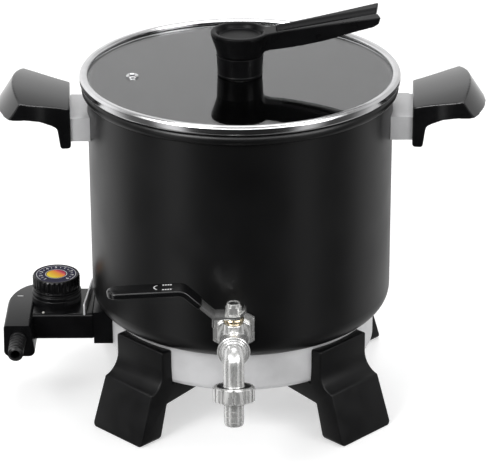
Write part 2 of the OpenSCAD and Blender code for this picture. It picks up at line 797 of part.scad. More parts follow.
module inner_nut() color(steel) difference() {
    hex_front(-(inner_nut_y - inner_nut_t), inner_nut_t, inner_nut_af);
    along_front(tap_x, -(inner_nut_y - inner_nut_t) + cut, tap_z, inner_nut_t + 2 * cut,
        nipple_r + seat_gap);
}

module tap_body() color(steel) difference() {
    union() {
        along_front(tap_x, -tap_face, tap_z, tap_body_len, tap_body_d / 2);
        hex_front(-tap_face, 7, tap_body_d + 3.6);
        along_front(tap_x, -tap_front + 5, tap_z, 5, tap_body_d / 2 + 1);
        translate([tap_x, -stem_y, tap_z]) cylinder(h = neck_h, r = neck_d / 2);
    }
    along_front(tap_x, -tap_face + cut, tap_z, tap_body_len + 2 * cut, tap_bore);
    translate([tap_x, -stem_y, tap_z]) cylinder(h = neck_h + cut, r = stem_r + turn_gap);
    translate([tap_x, -stem_y, packing_z]) cylinder(h = neck_h, r = packing_r);
}

// Two soft rings that hold the ball from behind and in front
module ball_seats() color(pale) difference() {
    for (y = [seat_back, seat_front - seat_t])
        along_front(tap_x, -y, tap_z, seat_t, tap_bore - seat_gap);
    along_front(tap_x, -seat_back + cut, tap_z, seat_front - seat_back + 2 * cut, way_r);
    translate([tap_x, -stem_y, tap_z]) sphere(r = ball_r + seat_gap);
    translate([tap_x, -stem_y, tap_z]) cylinder(h = through, r = stem_r + 1);
}

module stem_packing() color(pale) translate([tap_x, -stem_y, packing_z]) difference() {
    cylinder(h = packing_t, r = packing_r - seat_gap);
    translate([0, 0, -cut]) cylinder(h = packing_t + 2 * cut, r = stem_r + turn_gap);
}

module gland_nut() color(brass) translate([tap_x, -stem_y, 0]) difference() {
    union() {
        translate([0, 0, packing_z + packing_t])
            cylinder(h = neck_top - packing_z - packing_t + cut, r = packing_r - seat_gap);
        translate([0, 0, neck_top]) cylinder(h = gland_h, d = neck_d);
    }
    translate([0, 0, packing_z]) cylinder(h = through, r = stem_r + turn_gap);
}

module tap_ball() color(steel) difference() {
    translate([tap_x, -stem_y, tap_z]) sphere(r = ball_r);
    along_right(tap_x - through / 2, -stem_y, tap_z, through, way_r);
    translate([tap_x, -stem_y, tap_z + way_r + 1])
        cylinder(h = through, r = stem_r + seat_gap / 2);
}

module tap_stem() color(steel) translate([tap_x, -stem_y, tap_z + way_r + 1])
    cylinder(h = stem_top - tap_z - way_r - 1, r = stem_r);

// The spout: front ring, quarter bend, pipe and threaded collar
module spout() color(steel) difference() {
    union() {
        along_front(tap_x, -seat_front, tap_z, tap_front - seat_front + cut, tap_bore - seat_gap);
        along_front(tap_x, -tap_front, tap_z, ring_t, ring_d / 2);
        along_front(tap_x, -tap_front - ring_t + cut, tap_z, cut, spout_r);
        bend(spout_r);
        at_outlet(collar_z) cylinder(h = spout_drop, r = spout_r);
        at_outlet(collar_z) cylinder(h = collar_h, r = collar_r);
    }
    along_front(tap_x, -seat_front + cut, tap_z, ring_face - seat_front + cut + way_in, way_r);
    bend(bend_way_r);
    at_outlet(collar_z - cut) cylinder(h = spout_drop + cut + way_in, r = way_r);
}

// The bend from the front of the ring down to the outlet
module bend(r) translate([tap_x, -ring_face, bend_z]) rotate([90, 0, -90])
    rotate([0, 0, outlet_tilt]) rotate_extrude(angle = 90 - outlet_tilt)
        translate([bend_r, 0]) circle(r = r);

// Places a piece on the outlet's axis, at the height that it would have with an upright outlet
module at_outlet(z) translate([tap_x, -ring_face, bend_z]) rotate([-outlet_tilt, 0, 0])
    translate([0, -bend_r, z - bend_z]) children();

module tail_washer() color(black) at_outlet(collar_z - tail_washer_t)
    difference() {
        cylinder(h = tail_washer_t, r = collar_r - 0.4);
        translate([0, 0, -cut]) cylinder(h = tail_washer_t + 2 * cut, r = way_r);
    }

module hose_tail() color(steel) at_outlet(0) difference() {
    union() {
        translate([0, 0, tail_flange_z]) cylinder(h = tail_flange_t, r = collar_r - 0.4);
        translate([0, 0, tail_z + 2]) cylinder(h = tail_flange_z - tail_z - 2, r = tail_r);
        translate([0, 0, tail_z]) cylinder(h = 2, r1 = tail_r - 1.6, r2 = tail_r);
        for (z = [tail_z + ring_pitch * 0.9 : ring_pitch : nut_z - ring_pitch])
            translate([0, 0, z])
                cylinder(h = ring_pitch - 1, r1 = tail_r, r2 = tail_r + ring_rise);
    }
    translate([0, 0, tail_z - cut])
        cylinder(h = collar_z - tail_z + cut, r = tail_bore);
}

module hose_nut() color(steel) at_outlet(nut_z) difference() {
    union() {
        cylinder(h = hose_nut_h, d = hose_nut_d - 2.4);
        translate([0, 0, 1]) cylinder(h = hose_nut_h - 2, d = hose_nut_d);
    }
    translate([0, 0, nut_lip]) cylinder(h = hose_nut_h, r = collar_r + turn_gap);
    translate([0, 0, -cut]) cylinder(h = nut_lip + 2 * cut, r = tail_r + pass_gap);
    for (i = [0 : flutes - 1]) rotate([0, 0, i * 360 / flutes])
        translate([hose_nut_d / 2 + 0.7, 0, -cut]) cylinder(h = hose_nut_h + 2 * cut, r = flute_r);
}

// Outline of the lever from the side, in (distance from the stem towards -X, height)
knee_at = lever_flat + lever_run;
climb_a = atan(lever_climb / lever_run);
sag_a = atan(lever_sag / (lever_len - knee_at));
function lever_line(up, end) = [
    [lever_flat - tan(climb_a / 2) * up, lever_z + up],
    [knee_at - tan((climb_a + sag_a) / 2) * up, lever_z + lever_climb + up],
    [end, lever_z + lever_climb - lever_sag * (end - knee_at) / (lever_len - knee_at) + up]
];
function reversed(list) = [for (i = [len(list) - 1 : -1 : 0]) list[i]];

module lever_section() {
    polygon(concat([[-9, lever_z]], lever_line(0, lever_len),
        reversed(lever_line(lever_t, lever_len)), [[-9, lever_z + lever_t]]));
    polygon([[-7, lever_z], [-12.5, lever_z + 4.5], [-13.6, lever_z + 4.5 + lever_t * 0.6],
        [-7, lever_z + lever_t]]);
}

// Turns a side outline of the lever into a strip about the stem
module lever_strip(w) translate([tap_x, -stem_y, 0]) mirror([1, 0, 0]) radial_bar(w) children();

module tap_lever() color(steel) difference() {
    union() {
        intersection() {
            lever_strip(lever_w) lever_section();
            translate([tap_x, -stem_y, lever_z - cut]) linear_extrude(lever_climb + 10) mirror([1, 0])
                round_rect(-20, lever_len, -lever_w / 2, lever_w / 2, lever_w / 2 - 0.01);
        }
        block([tap_x - lever_flat - 0.6, -stem_y - lever_w / 2, lever_z - 7.5],
            [tap_x - lever_flat + 1.4, -stem_y - lever_w / 2 + 4, lever_z + 0.4]);
    }
    translate([tap_x, -stem_y, lever_z - cut]) cylinder(h = 12, r = stem_r + seat_gap / 2);
}

// The dipped sleeve covers the lever from halfway up its climb to past its tip
module lever_sleeve() color(black) difference() {
    intersection() {
        lever_strip(lever_w + 2 * sleeve_t) polygon(concat(
            lever_line(-sleeve_t, lever_len + sleeve_t),
            reversed(lever_line(lever_t + sleeve_t, lever_len + sleeve_t))));
        translate([tap_x, -stem_y, lever_z - 2]) linear_extrude(lever_climb + 12) mirror([1, 0])
            round_rect(lever_flat + lever_run * 0.45, lever_len + sleeve_t,
                -lever_w / 2 - sleeve_t, lever_w / 2 + sleeve_t, lever_w / 2);
    }
    intersection() {
        lever_strip(lever_w) lever_section();
        translate([tap_x, -stem_y, lever_z - cut]) linear_extrude(lever_climb + 10) mirror([1, 0])
            round_rect(-20, lever_len, -lever_w / 2, lever_w / 2, lever_w / 2 - 0.01);
    }
}

module lever_nut() color(steel) translate([tap_x, -stem_y, lever_top]) difference() {
    cylinder(h = lever_nut_h, r = lever_nut_af / 2 / cos(30), $fn = 6);
    translate([0, 0, -cut]) cylinder(h = lever_nut_h + 2 * cut, r = stem_r + seat_gap / 2);
}

// ---- heat control ----

// The control's arm, from above, drawn smaller by inset
module arm_outline(inset) {
    x0 = -ctl_end + inset;
    x1 = -arm_in - inset;
    y0 = -ctl_arm_front + inset;
    y1 = ctl_arm_back - inset;
    r = ctl_arm_round - inset;
    difference() {
        round_rect(x0, x1, y0, y1, 3 - min(inset, 2));
        translate([x0 - cut, y1 - r]) square([r + cut, r + cut]);
    }
    translate([x0 + r, y1 - r]) intersection() {
        circle(r = r);
        translate([-r, 0]) square([min(2 * r, x1 - x0), r]);
    }
}

// The control's whole solid between two heights, smaller by inset
module control_solid(low, high, inset) {
    z0 = max(low, arm_low + inset);
    z1 = min(high, arm_top - inset);
    translate([0, 0, z0]) linear_extrude(z1 - z0) arm_outline(inset);
    m0 = max(low, main_low + inset);
    m1 = min(high, main_top - inset);
    block([-main_end - 2 * inset, -ctl_w / 2 + inset, m0], [-main_in - inset, ctl_w / 2 - inset, m1]);
}

// Holes from the hollow of the control out through its inner end
module nose_holes() {
    start = main_in + ctl_wall + 2 * cut;
    along_right(-start, 0, ctl_z, start - nose_in + cut, probe_d / 2 + seat_gap);
    for (side = [-1, 1])
        along_right(-start, side * pin_y, ctl_z, start - nose_in + cut, contact_r + seat_gap);
}

module nose_solid(low, high) difference() {
    block([-main_in - ctl_wall - cut, -nose_y, low], [-nose_in, nose_y, high]);
    nose_holes();
}

// Round posts or holes at the control's screws; under the arm they start and end elsewhere
module screw_posts(low, high, arm_low_z, arm_high_z, r) for (at = ctl_screws) {
    in_arm = at[0] < -main_end;
    z0 = in_arm ? arm_low_z : low;
    z1 = in_arm ? arm_high_z : high;
    translate([at[0], at[1], z0]) cylinder(h = z1 - z0, r = r);
}

module relief_hole()
    along_front(relief_x, -ctl_arm_front + relief_root, ctl_z, relief_root + cut,
        relief_d / 2 - 2 + seat_gap);

module control_upper_shell() color(black) difference() {
    union() {
        difference() {
            union() {
                control_solid(ctl_z, arm_top + cut, 0);
                translate([-dial_at, 0, main_top - 1]) cylinder(h = dial_step_h - 3, d = dial_step_d);
                translate([-dial_at, 0, main_top]) cylinder(h = dial_step_h, d = dial_step_d - 3.4);
            }
            control_solid(ctl_z - cut, arm_top + cut, ctl_wall);
            nose_holes();
        }
        nose_solid(ctl_z, ctl_z + nose_h);
        screw_posts(ctl_z, main_top - 1, ctl_z, arm_top - 1, post_r);
    }
    translate([-dial_at, 0, ctl_z]) cylinder(h = through, r = shaft_r + turn_gap);
    screw_posts(ctl_z - cut, ctl_z + screw_bite, ctl_z - cut, ctl_z + screw_bite,
        ctl_screw_r + seat_gap);
    relief_hole();
    translate([lamp_x, lamp_y, main_top - ctl_wall - 2 * cut])
        cylinder(h = ctl_wall + 3 * cut, r = lamp_r + seat_gap);
}

module control_lower_shell() color(black) difference() {
    union() {
        difference() {
            control_solid(arm_low - cut, ctl_z, 0);
            control_solid(arm_low - cut, ctl_z + cut, ctl_wall);
            nose_holes();
        }
        nose_solid(ctl_z - nose_h, ctl_z);
        screw_posts(main_low + 1, ctl_z, arm_low + 1, ctl_z, post_r);
    }
    screw_posts(arm_low - cut, ctl_z + cut, arm_low - cut, ctl_z + cut, ctl_screw_r + seat_gap);
    screw_posts(arm_low - cut, main_low + head_sink, arm_low - cut, main_low + head_sink,
        ctl_screw_r * 1.9 + seat_gap);
    relief_hole();
}

module control_screws() color(steel) for (at = ctl_screws) translate([at[0], at[1], 0]) {
    translate([0, 0, main_low + head_sink - 2]) cylinder(h = 2, r = ctl_screw_r * 1.9);
    translate([0, 0, main_low + head_sink - cut])
        cylinder(h = ctl_z + screw_bite - 0.5 + cut - main_low - head_sink, r = ctl_screw_r);
}

module thermostat() color(satin) {
    block([-thermo_out, -thermo_y, thermo_low], [-thermo_in, thermo_y, thermo_top]);
    block([-thermo_out + 6, -thermo_y + 3, main_low + ctl_wall],
        [-thermo_in - 6, thermo_y - 3, thermo_low]);
}

module probe_tube() color(steel) {
    along_right(-thermo_in, 0, ctl_z, thermo_in - probe_end - 3, probe_d / 2);
    translate([-probe_end - 3, 0, ctl_z]) sphere(r = probe_d / 2);
}

module contact_tubes() color(brass) for (side = [-1, 1]) difference() {
    along_right(-(main_in + 10), side * pin_y, ctl_z, main_in + 10 - nose_in - 1, contact_r);
    along_right(-(main_in + 6), side * pin_y, ctl_z, 30, pin_d / 2 + turn_gap);
}

module pilot_lamp() color([0.95, 0.93, 0.88]) translate([lamp_x, lamp_y, 0]) {
    translate([0, 0, main_top - ctl_wall - 1.5]) cylinder(h = ctl_wall + 2, r = lamp_r);
    translate([0, 0, main_top + 0.5]) sphere(r = lamp_r);
}

// A thin upright plate between the dial and the pot
module heat_shield() color(steel) rotate([90, 0, 90]) translate([0, 0, -(main_in + 5.7)])
    linear_extrude(1.4) polygon([
        [-ctl_w / 2, main_top], [ctl_w / 2, main_top], [ctl_w / 2, main_top + shield_h],
        [-ctl_w * 0.28, main_top + shield_h * 0.75], [-ctl_w / 2, main_top + 2]
    ]);

module strain_relief() color(black) difference() {
    union() {
        along_front(relief_x, -ctl_arm_front + ctl_wall + 3.4, ctl_z, 3.2, relief_d / 2);
        along_front(relief_x, -ctl_arm_front + ctl_wall + 1, ctl_z, relief_len + 3, relief_d / 2 - 2);
        for (i = [0 : 4]) along_front(relief_x, -ctl_arm_front - i * relief_len / 5, ctl_z,
            relief_len / 5 - 2, relief_d / 2 - i * 0.25);
        along_front(relief_x, -ctl_arm_front - relief_len + 3, ctl_z, 3, relief_d / 2 - 1);
    }
    along_front(relief_x, -ctl_arm_front + 12, ctl_z, relief_len + 20, 2.7);
}

// Shallow flutes round the dial leave its ribs standing
module dial_knob() color(black) translate([-dial_at, 0, 0]) difference() {
    union() {
        translate([0, 0, dial_z]) cylinder(h = dial_h - 1, d = dial_d);
        translate([0, 0, dial_top - 1]) cylinder(h = 1, d1 = dial_d, d2 = dial_d - 2);
    }
    translate([0, 0, dial_top - disc_t - 0.3]) cylinder(h = 3, r = disc_r + seat_gap);
    translate([0, 0, dial_z - cut]) cylinder(h = dial_h - 3 + cut, r = shaft_r + seat_gap / 2);
    for (i = [0 : dial_ribs - 1]) rotate([0, 0, i * 360 / dial_ribs])
        translate([dial_d / 2 + 1, 0, dial_z - cut]) cylinder(h = dial_h - 2, r = 1.6);
}

module dial_disc() color([0.12, 0.12, 0.25]) translate([-dial_at, 0, dial_top - disc_t - 0.3])
    cylinder(h = disc_t, r = disc_r);

module dial_shaft() color(steel) translate([-dial_at, 0, thermo_top + pass_gap])
    cylinder(h = dial_top - 3 - thermo_top - pass_gap, r = shaft_r);

pot_shell();
heat_plate();
heating_element();
probe_sleeve();
terminal_pins();
pin_insulator();
base_pan();
centre_stud();
centre_nut();
socket_shroud();
foot_front_left();
foot_front_right();
foot_back_left();
foot_back_right();
foot_screws();
foot_nuts();
bracket_left();
bracket_right();
bracket_rivets();
grip_left();
grip_right();
grip_screws();
lid_glass();
lid_band();
vent_eyelet();
handle_post();
lid_handle();
handle_screw();
handle_washer();
slot_pins();
tap_nipple();
outer_gasket();
inner_gasket();
inner_nut();
tap_body();
ball_seats();
stem_packing();
gland_nut();
spout();
tail_washer();
hose_tail();
tap_ball();
tap_stem();
tap_lever();
lever_sleeve();
lever_nut();
hose_nut();
control_upper_shell();
control_lower_shell();
control_screws();
thermostat();
probe_tube();
contact_tubes();
pilot_lamp();
heat_shield();
strain_relief();
dial_knob();
dial_disc();
dial_shaft();
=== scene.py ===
"""Candle wax melter: the look of the pot, its lid, tap and heat control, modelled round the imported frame."""

import json
import math

import bpy
from mathutils import Matrix, Vector


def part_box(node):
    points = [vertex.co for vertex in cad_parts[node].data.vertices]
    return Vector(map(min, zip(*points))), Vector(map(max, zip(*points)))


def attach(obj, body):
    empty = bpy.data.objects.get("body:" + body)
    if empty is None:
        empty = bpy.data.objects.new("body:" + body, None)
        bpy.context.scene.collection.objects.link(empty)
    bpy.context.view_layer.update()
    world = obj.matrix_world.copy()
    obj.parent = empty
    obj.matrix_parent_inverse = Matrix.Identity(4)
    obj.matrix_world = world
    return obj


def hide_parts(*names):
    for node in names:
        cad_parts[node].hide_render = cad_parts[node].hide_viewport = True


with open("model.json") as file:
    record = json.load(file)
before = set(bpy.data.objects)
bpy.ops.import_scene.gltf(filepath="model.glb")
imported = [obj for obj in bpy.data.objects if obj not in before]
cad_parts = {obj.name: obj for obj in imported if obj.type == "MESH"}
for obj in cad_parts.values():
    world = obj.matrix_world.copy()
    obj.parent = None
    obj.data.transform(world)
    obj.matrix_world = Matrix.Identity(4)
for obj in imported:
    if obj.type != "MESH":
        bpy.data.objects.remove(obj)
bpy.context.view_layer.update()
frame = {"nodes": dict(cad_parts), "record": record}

bl_info = {
    "name": "Candle wax melter",
    "version": (1, 0, 0),
    "blender": (4, 5, 0),
    "location": "View3D > Sidebar > Wax melter",
    "description": "Models and finishes the pieces of an electric candle wax melter",
    "category": "Object",
}

MM = 0.001
X, Y, Z = Vector((1, 0, 0)), Vector((0, 1, 0)), Vector((0, 0, 1))


# ---- sizes of the frame, in millimetres ----

def low(node, axis):
    """Lowest place of a CAD node along an axis, in millimetres."""
    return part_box(node)[0][axis] / MM


def high(node, axis):
    """Highest place of a CAD node along an axis, in millimetres."""
    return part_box(node)[1][axis] / MM


def mid(node, axis):
    """Middle of a CAD node along an axis, in millimetres."""
    return (low(node, axis) + high(node, axis)) / 2


GLASS_TOP = high("lid_glass", 2)
POST_TOP = high("handle_post", 2)
BAND_R = high("lid_band", 0)
BAND_LOW, BAND_TOP = low("lid_band", 2), high("lid_band", 2)
TAP_X = mid("hose_nut", 0)
TAP_Z = mid("outer_gasket", 2)
STEM_Y = mid("tap_stem", 1)
RING_FACE = -low("tap_body", 1) + 3
BEND_R, OUTLET_TILT = 9, 14
SPOUT_Y, BEND_Z = -RING_FACE - BEND_R, TAP_Z - BEND_R
COLLAR_Z = BEND_Z - 22.8
NUT_Z, NUT_TOP, TAIL_Z = COLLAR_Z - 5.6, COLLAR_Z + 6.4, COLLAR_Z - 25.6
DIAL_X = mid("dial_disc", 0)
OUTLET, STEM, DIAL = (TAP_X, SPOUT_Y, 0), (TAP_X, STEM_Y, 0), (DIAL_X, 0, 0)
# how much higher the knob is than its node, the grips' turn about their inner front corner, and how
# far the right (1) and the left (-1) grip are set in
DIAL_LIFT = 1.4
GRIP_YAW = math.radians(3.4)
GRIP_SET = {1: 1.0, -1: 3.0}


# ---- the camera, in metres, degrees and pixels ----

SENSOR = 36
FRAME_WIDTH, FRAME_HEIGHT = 491, 476
FOCAL_PIXELS = 2554.8
CAMERA_PLACE = (0.0, -1.9632, 0.9932)
CAMERA_TILT = 22.76
CAMERA_ROLL = -0.24
TARGET_AT = (240.82, 198.07)


# ---- the stage: floor in metres, light for soft surfaces, and the bright box before the object ----

FLOOR_SIZE, FLOOR_LIFT = 14, 0.46
SOFT_LIGHT, BOX_LIGHT = 0.42, 4.0


# ---- modelling ----

def deselect():
    """Leaves object mode with nothing selected."""
    if bpy.context.object and bpy.context.object.mode != "OBJECT":
        bpy.ops.object.mode_set(mode="OBJECT")
    bpy.ops.object.select_all(action="DESELECT")


def pick(piece):
    """Makes a piece the only selected and active object."""
    deselect()
    piece.select_set(True)
    bpy.context.view_layer.objects.active = piece


def edit(piece):
    """Opens a piece in edit mode with all of it selected."""
    pick(piece)
    bpy.ops.object.mode_set(mode="EDIT")
    bpy.ops.mesh.select_all(action="SELECT")


def trace(name, points):
    """Starts from a plane merged to one vertex and extrudes it from point to point, in metres."""
    deselect()
    bpy.ops.mesh.primitive_plane_add(size=MM)
    piece = bpy.context.object
    piece.name = name
    piece.data.name = name
    edit(piece)
    bpy.ops.mesh.merge(type="CENTER")
    bpy.ops.transform.translate(value=points[0])
    for start, end in zip(points, points[1:]):
        bpy.ops.mesh.extrude_region_move(TRANSFORM_OT_translate={"value": end - start})
    return piece


def tidy_mesh():
    """Merges doubles and turns the faces outwards, in edit mode."""
    bpy.ops.mesh.select_all(action="SELECT")
    bpy.ops.mesh.remove_doubles(threshold=0.002 * MM)
    bpy.ops.mesh.normals_make_consistent(inside=False)


def lathe(name, profile, origin=(0, 0, 0), axis=Z, ring=False, steps=128):
    """Spins a profile of (radius, height) about an axis. A ring's profile closes on itself."""
    side = X if axis != X else Z
    start = Vector(origin)
    points = [(start + side * r + axis * h) * MM for r, h in profile]
    piece = trace(name, points + points[:1] if ring else points)
    bpy.ops.mesh.select_all(action="SELECT")
    bpy.ops.mesh.spin(steps=steps, angle=math.tau, center=start * MM, axis=axis)
    tidy_mesh()
    bpy.ops.object.mode_set(mode="OBJECT")
    return piece


def prism(name, outline, start, end, axis=Z, lean=Vector()):
    """Fills an outline and extrudes it. Outlines are (x, y) along Z, (x, z) along Y and (y, z) along X."""
    across = {"Z": (X, Y), "Y": (X, Z), "X": (Y, Z)}["XYZ"[[X, Y, Z].index(axis)]]
    points = [(across[0] * a + across[1] * b + axis * start) * MM for a, b in outline]
    piece = trace(name, points)
    bpy.ops.mesh.select_all(action="SELECT")
    bpy.ops.mesh.edge_face_add()
    bpy.ops.mesh.extrude_region_move(TRANSFORM_OT_translate={"value": (axis * (end - start) + lean) * MM})
    tidy_mesh()
    bpy.ops.object.mode_set(mode="OBJECT")
    return piece


def drum(name, radius, origin, length, axis=Z, vertices=64):
    """A cylinder from a point along an axis."""
    deselect()
    turn = {"X": (0, math.pi / 2, 0), "Y": (-math.pi / 2, 0, 0), "Z": (0, 0, 0)}
    bpy.ops.mesh.primitive_cylinder_add(vertices=vertices, radius=radius * MM, depth=length * MM,
        location=(Vector(origin) + axis * length / 2) * MM,
        rotation=turn["XYZ"[[X, Y, Z].index(axis)]])
    piece = bpy.context.object
    piece.name = name
    apply_place(piece)
    return piece


def apply_place(piece):
    """Puts a piece's place, turn and scale into its mesh."""
    pick(piece)
    bpy.ops.object.transform_apply(location=True, rotation=True, scale=True)


def rounded(points, radius, steps=5):
    """The same outline with an arc at each corner; radius is one number or one for each corner."""
    radii = radius if isinstance(radius, (list, tuple)) else [radius] * len(points)
    made = []
    for i, here in enumerate(points):
        corner = Vector(here)
        before = Vector(points[i - 1]) - corner
        after = Vector(points[(i + 1) % len(points)]) - corner
        if radii[i] <= 0:
            made.append(tuple(corner))
            continue
        half = before.angle(after) / 2
        back = min(radii[i] / math.tan(half), before.length * 0.49, after.length * 0.49)
        r = back * math.tan(half)
        first = corner + before.normalized() * back
        last = corner + after.normalized() * back
        centre = corner + (before.normalized() + after.normalized()).normalized() * (r / math.sin(half))
        a0, a1 = first - centre, last - centre
        for k in range(steps + 1):
            t = k / steps
            arm = (a0 * (1 - t) + a1 * t).normalized() * r
            made.append(tuple(centre + arm))
    return made


def filled(points, radius, steps=3):
    """A lathe profile with rounded corners that closes to the axis at both its ends."""
    whole = [(0, points[0][1]), *points, (0, points[-1][1])]
    return rounded(whole, [0, *[radius] * len(points), 0], steps)


def placed(x, y, points):
    """Points set out from a place."""
    return [(x + a, y + b) for a, b in points]


def curve_through(points, steps=6):
    """More points on a smooth line through the given ones."""
    made = []
    last = len(points) - 1
    for i in range(last):
        p0, p1 = Vector(points[max(i - 1, 0)]), Vector(points[i])
        p2, p3 = Vector(points[i + 1]), Vector(points[min(i + 2, last)])
        for k in range(steps):
            t = k / steps
            made.append(tuple(0.5 * (2 * p1 + (p2 - p0) * t + (2 * p0 - 5 * p1 + 4 * p2 - p3) * t * t
                + (3 * p1 - p0 - 3 * p2 + p3) * t ** 3)))
    return made + [tuple(points[-1])]


def arc(centre, radius, start, end, steps=12):
    """Points on an arc, with its angles in degrees."""
    angles = [math.radians(start + (end - start) * k / steps) for k in range(steps + 1)]
    return [(centre[0] + radius * math.cos(a), centre[1] + radius * math.sin(a)) for a in angles]


def hexagon(x, y, flat, first=0):
    """A hexagon by the distance to its flats, from its first corner's angle in degrees."""
    r = flat / math.cos(math.pi / 6)
    return [(x + r * math.cos(a),
        y + r * math.sin(a)) for a in (math.radians(first + 60 * k) for k in range(6))]


def combine(piece, tool, operation="DIFFERENCE"):
    """Cuts, joins or intersects a piece with a tool, which is then gone."""
    pick(piece)
    step = piece.modifiers.new("combine", "BOOLEAN")
    step.operation = operation
    step.solver = "EXACT"
    step.object = tool
    bpy.ops.object.modifier_apply(modifier=step.name)
    bpy.data.objects.remove(tool)
    if not piece.data.polygons:
        raise RuntimeError(f"nothing is left of {piece.name}")
    return piece


def soften(piece, voxel, repeat):
    """Remeshes a piece in even quads and smooths its edges, as on a moulded or cast piece."""
    pick(piece)
    step = piece.modifiers.new("remesh", "REMESH")
    step.mode = "VOXEL"
    step.voxel_size = voxel * MM
    bpy.ops.object.modifier_apply(modifier=step.name)
    step = piece.modifiers.new("smooth", "SMOOTH")
    step.iterations = repeat
    bpy.ops.object.modifier_apply(modifier=step.name)
    bpy.ops.object.shade_smooth()
    return piece


def ease(piece, width, segments=3, angle=28):
    """Bevels the sharp edges of a piece."""
    pick(piece)
    step = piece.modifiers.new("ease", "BEVEL")
    step.width = width * MM
    step.segments = segments
    step.angle_limit = math.radians(angle)
    step.use_clamp_overlap = True
    bpy.ops.object.modifier_apply(modifier=step.name)
    return piece


def copy_node(node, name):
    """A merged copy of a CAD node's mesh, as a start for a detailed piece."""
    mesh = frame["nodes"][node].data.copy()
    mesh.name = name
    mesh.materials.clear()
    piece = bpy.data.objects.new(name, mesh)
    bpy.context.scene.collection.objects.link(piece)
    edit(piece)
    tidy_mesh()
    bpy.ops.mesh.dissolve_limited(angle_limit=math.radians(1))
    bpy.ops.object.mode_set(mode="OBJECT")
    return piece


def join(piece, *others):
    """Joins pieces of one finish to one object."""
    pick(piece)
    for other in others:
        other.select_set(True)
    bpy.ops.object.join()
    return piece


def turned(piece, name, degrees):
    """A copy of a piece with its own mesh, turned about the pot's axis."""
    copy = bpy.data.objects.new(name, piece.data.copy())
    copy.data.name = name
    bpy.context.scene.collection.objects.link(copy)
    copy.rotation_euler[2] = math.radians(degrees)
    apply_place(copy)
    return copy


def swung(piece):
    """Leans a piece of the outlet to the front, about the bend."""
    centre = Vector((0, -RING_FACE, BEND_Z)) * MM
    piece.matrix_world = (Matrix.Translation(centre) @ Matrix.Rotation(-math.radians(OUTLET_TILT), 4, "X")
        @ Matrix.Translation(-centre))
    apply_place(piece)
    return piece


def settle(piece, body, finish, *nodes, angle=32, slot=None):
    """Shades a finished piece, gives it its material and sets it on its body in place of CAD nodes."""
    pick(piece)
    if angle:
        bpy.ops.object.shade_smooth_by_angle(angle=math.radians(angle))
    piece.data.materials.clear()
    piece.data.materials.append(MATERIALS[finish])
    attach(piece, body)
    if nodes:
        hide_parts(*nodes)
    return piece


# ---- materials ----

MATERIALS = {}


def add_node(tree, kind, inputs=(), **settings):
    """Adds a node, with its settings, and links or fills its inputs."""
    made = tree.nodes.new(kind)
    for key, value in settings.items():
        setattr(made, key, value)
    for key, value in dict(inputs).items():
        if isinstance(value, bpy.types.NodeSocket):
            tree.links.new(value, made.inputs[key])
        else:
            made.inputs[key].default_value = value
    return made


def surface(name, roughness=0.4, metallic=0.0, **sockets):
    """A material with its shader, tree and object coordinates."""
    made = MATERIALS[name] = bpy.data.materials.new(name)
    made.use_nodes = True
    tree = made.node_tree
    shader = tree.nodes["Principled BSDF"]
    shader.inputs["Roughness"].default_value = roughness
    shader.inputs["Metallic"].default_value = metallic
    for key, value in sockets.items():
        shader.inputs[key.replace("_", " ")].default_value = value
    place = add_node(tree, "ShaderNodeTexCoord").outputs["Object"]
    return made, tree, shader, place


def mottle(tree, place, scale, detail=3.0, rough=0.5):
    """Noise of a size in millimetres."""
    return add_node(tree, "ShaderNodeTexNoise", {"Vector": place, "Scale": 1 / (scale * MM),
        "Detail": detail, "Roughness": rough}).outputs["Fac"]


def maths(tree, kind, *values):
    """The result of a Math node."""
    return add_node(tree, "ShaderNodeMath", dict(enumerate(values)), operation=kind).outputs["Value"]


def between(tree, value, start, end, low=0.3, high=0.7):
    """Maps a noise value to a range."""
    return add_node(tree, "ShaderNodeMapRange", {"Value": value, "From Min": low, "From Max": high,
        "To Min": start, "To Max": end}).outputs["Result"]


def tint(tree, value, dark, light, low=0.35, high=0.65):
    """Maps a noise value to a colour between two."""
    ramp = add_node(tree, "ShaderNodeValToRGB", {"Fac": value})
    ramp.color_ramp.elements[0].position = low
    ramp.color_ramp.elements[1].position = high
    ramp.color_ramp.elements[0].color = (*dark, 1)
    ramp.color_ramp.elements[1].color = (*light, 1)
    return ramp.outputs["Color"]


def shade(colour, factor):
    """A lighter or darker version of a colour."""
    return tuple(min(c * factor, 1.0) for c in colour[:3])


def bump(tree, shader, height, strength, depth):
    """A bump of a depth in millimetres."""
    made = add_node(tree, "ShaderNodeBump", {"Height": height, "Strength": strength,
        "Distance": depth * MM})
    tree.links.new(made.outputs["Normal"], shader.inputs["Normal"])


def from_axis(tree, place):
    """The distance from the Z axis, and the separate coordinates."""
    parts = add_node(tree, "ShaderNodeSeparateXYZ", {"Vector": place}).outputs
    flat = add_node(tree, "ShaderNodeCombineXYZ", {"X": parts["X"], "Y": parts["Y"]}).outputs["Vector"]
    return add_node(tree, "ShaderNodeVectorMath", {0: flat}, operation="LENGTH").outputs["Value"], parts


def rings_place(tree, place):
    """Coordinates that stay the same all round the pot's axis, for turned and brushed metal."""
    far, parts = from_axis(tree, place)
    return add_node(tree, "ShaderNodeCombineXYZ", {"X": far, "Z": parts["Z"]}).outputs["Vector"]


def plastic(name, colour, roughness, grain, depth, patches=0.3, **sockets):
    """Moulded plastic or rubber: a fine grain, and soft patches of handling and flow."""
    made, tree, shader, place = surface(name, roughness, **sockets)
    wide = mottle(tree, place, 14, 4)
    fine = mottle(tree, place, grain, 2)
    colours = tint(tree, wide, shade(colour, 1 - patches / 2), shade(colour, 1 + patches))
    tree.links.new(colours, shader.inputs["Base Color"])
    tree.links.new(between(tree, wide, roughness * 0.88, roughness * 1.15), shader.inputs["Roughness"])
    bump(tree, shader, fine, 0.35, depth)
    return made


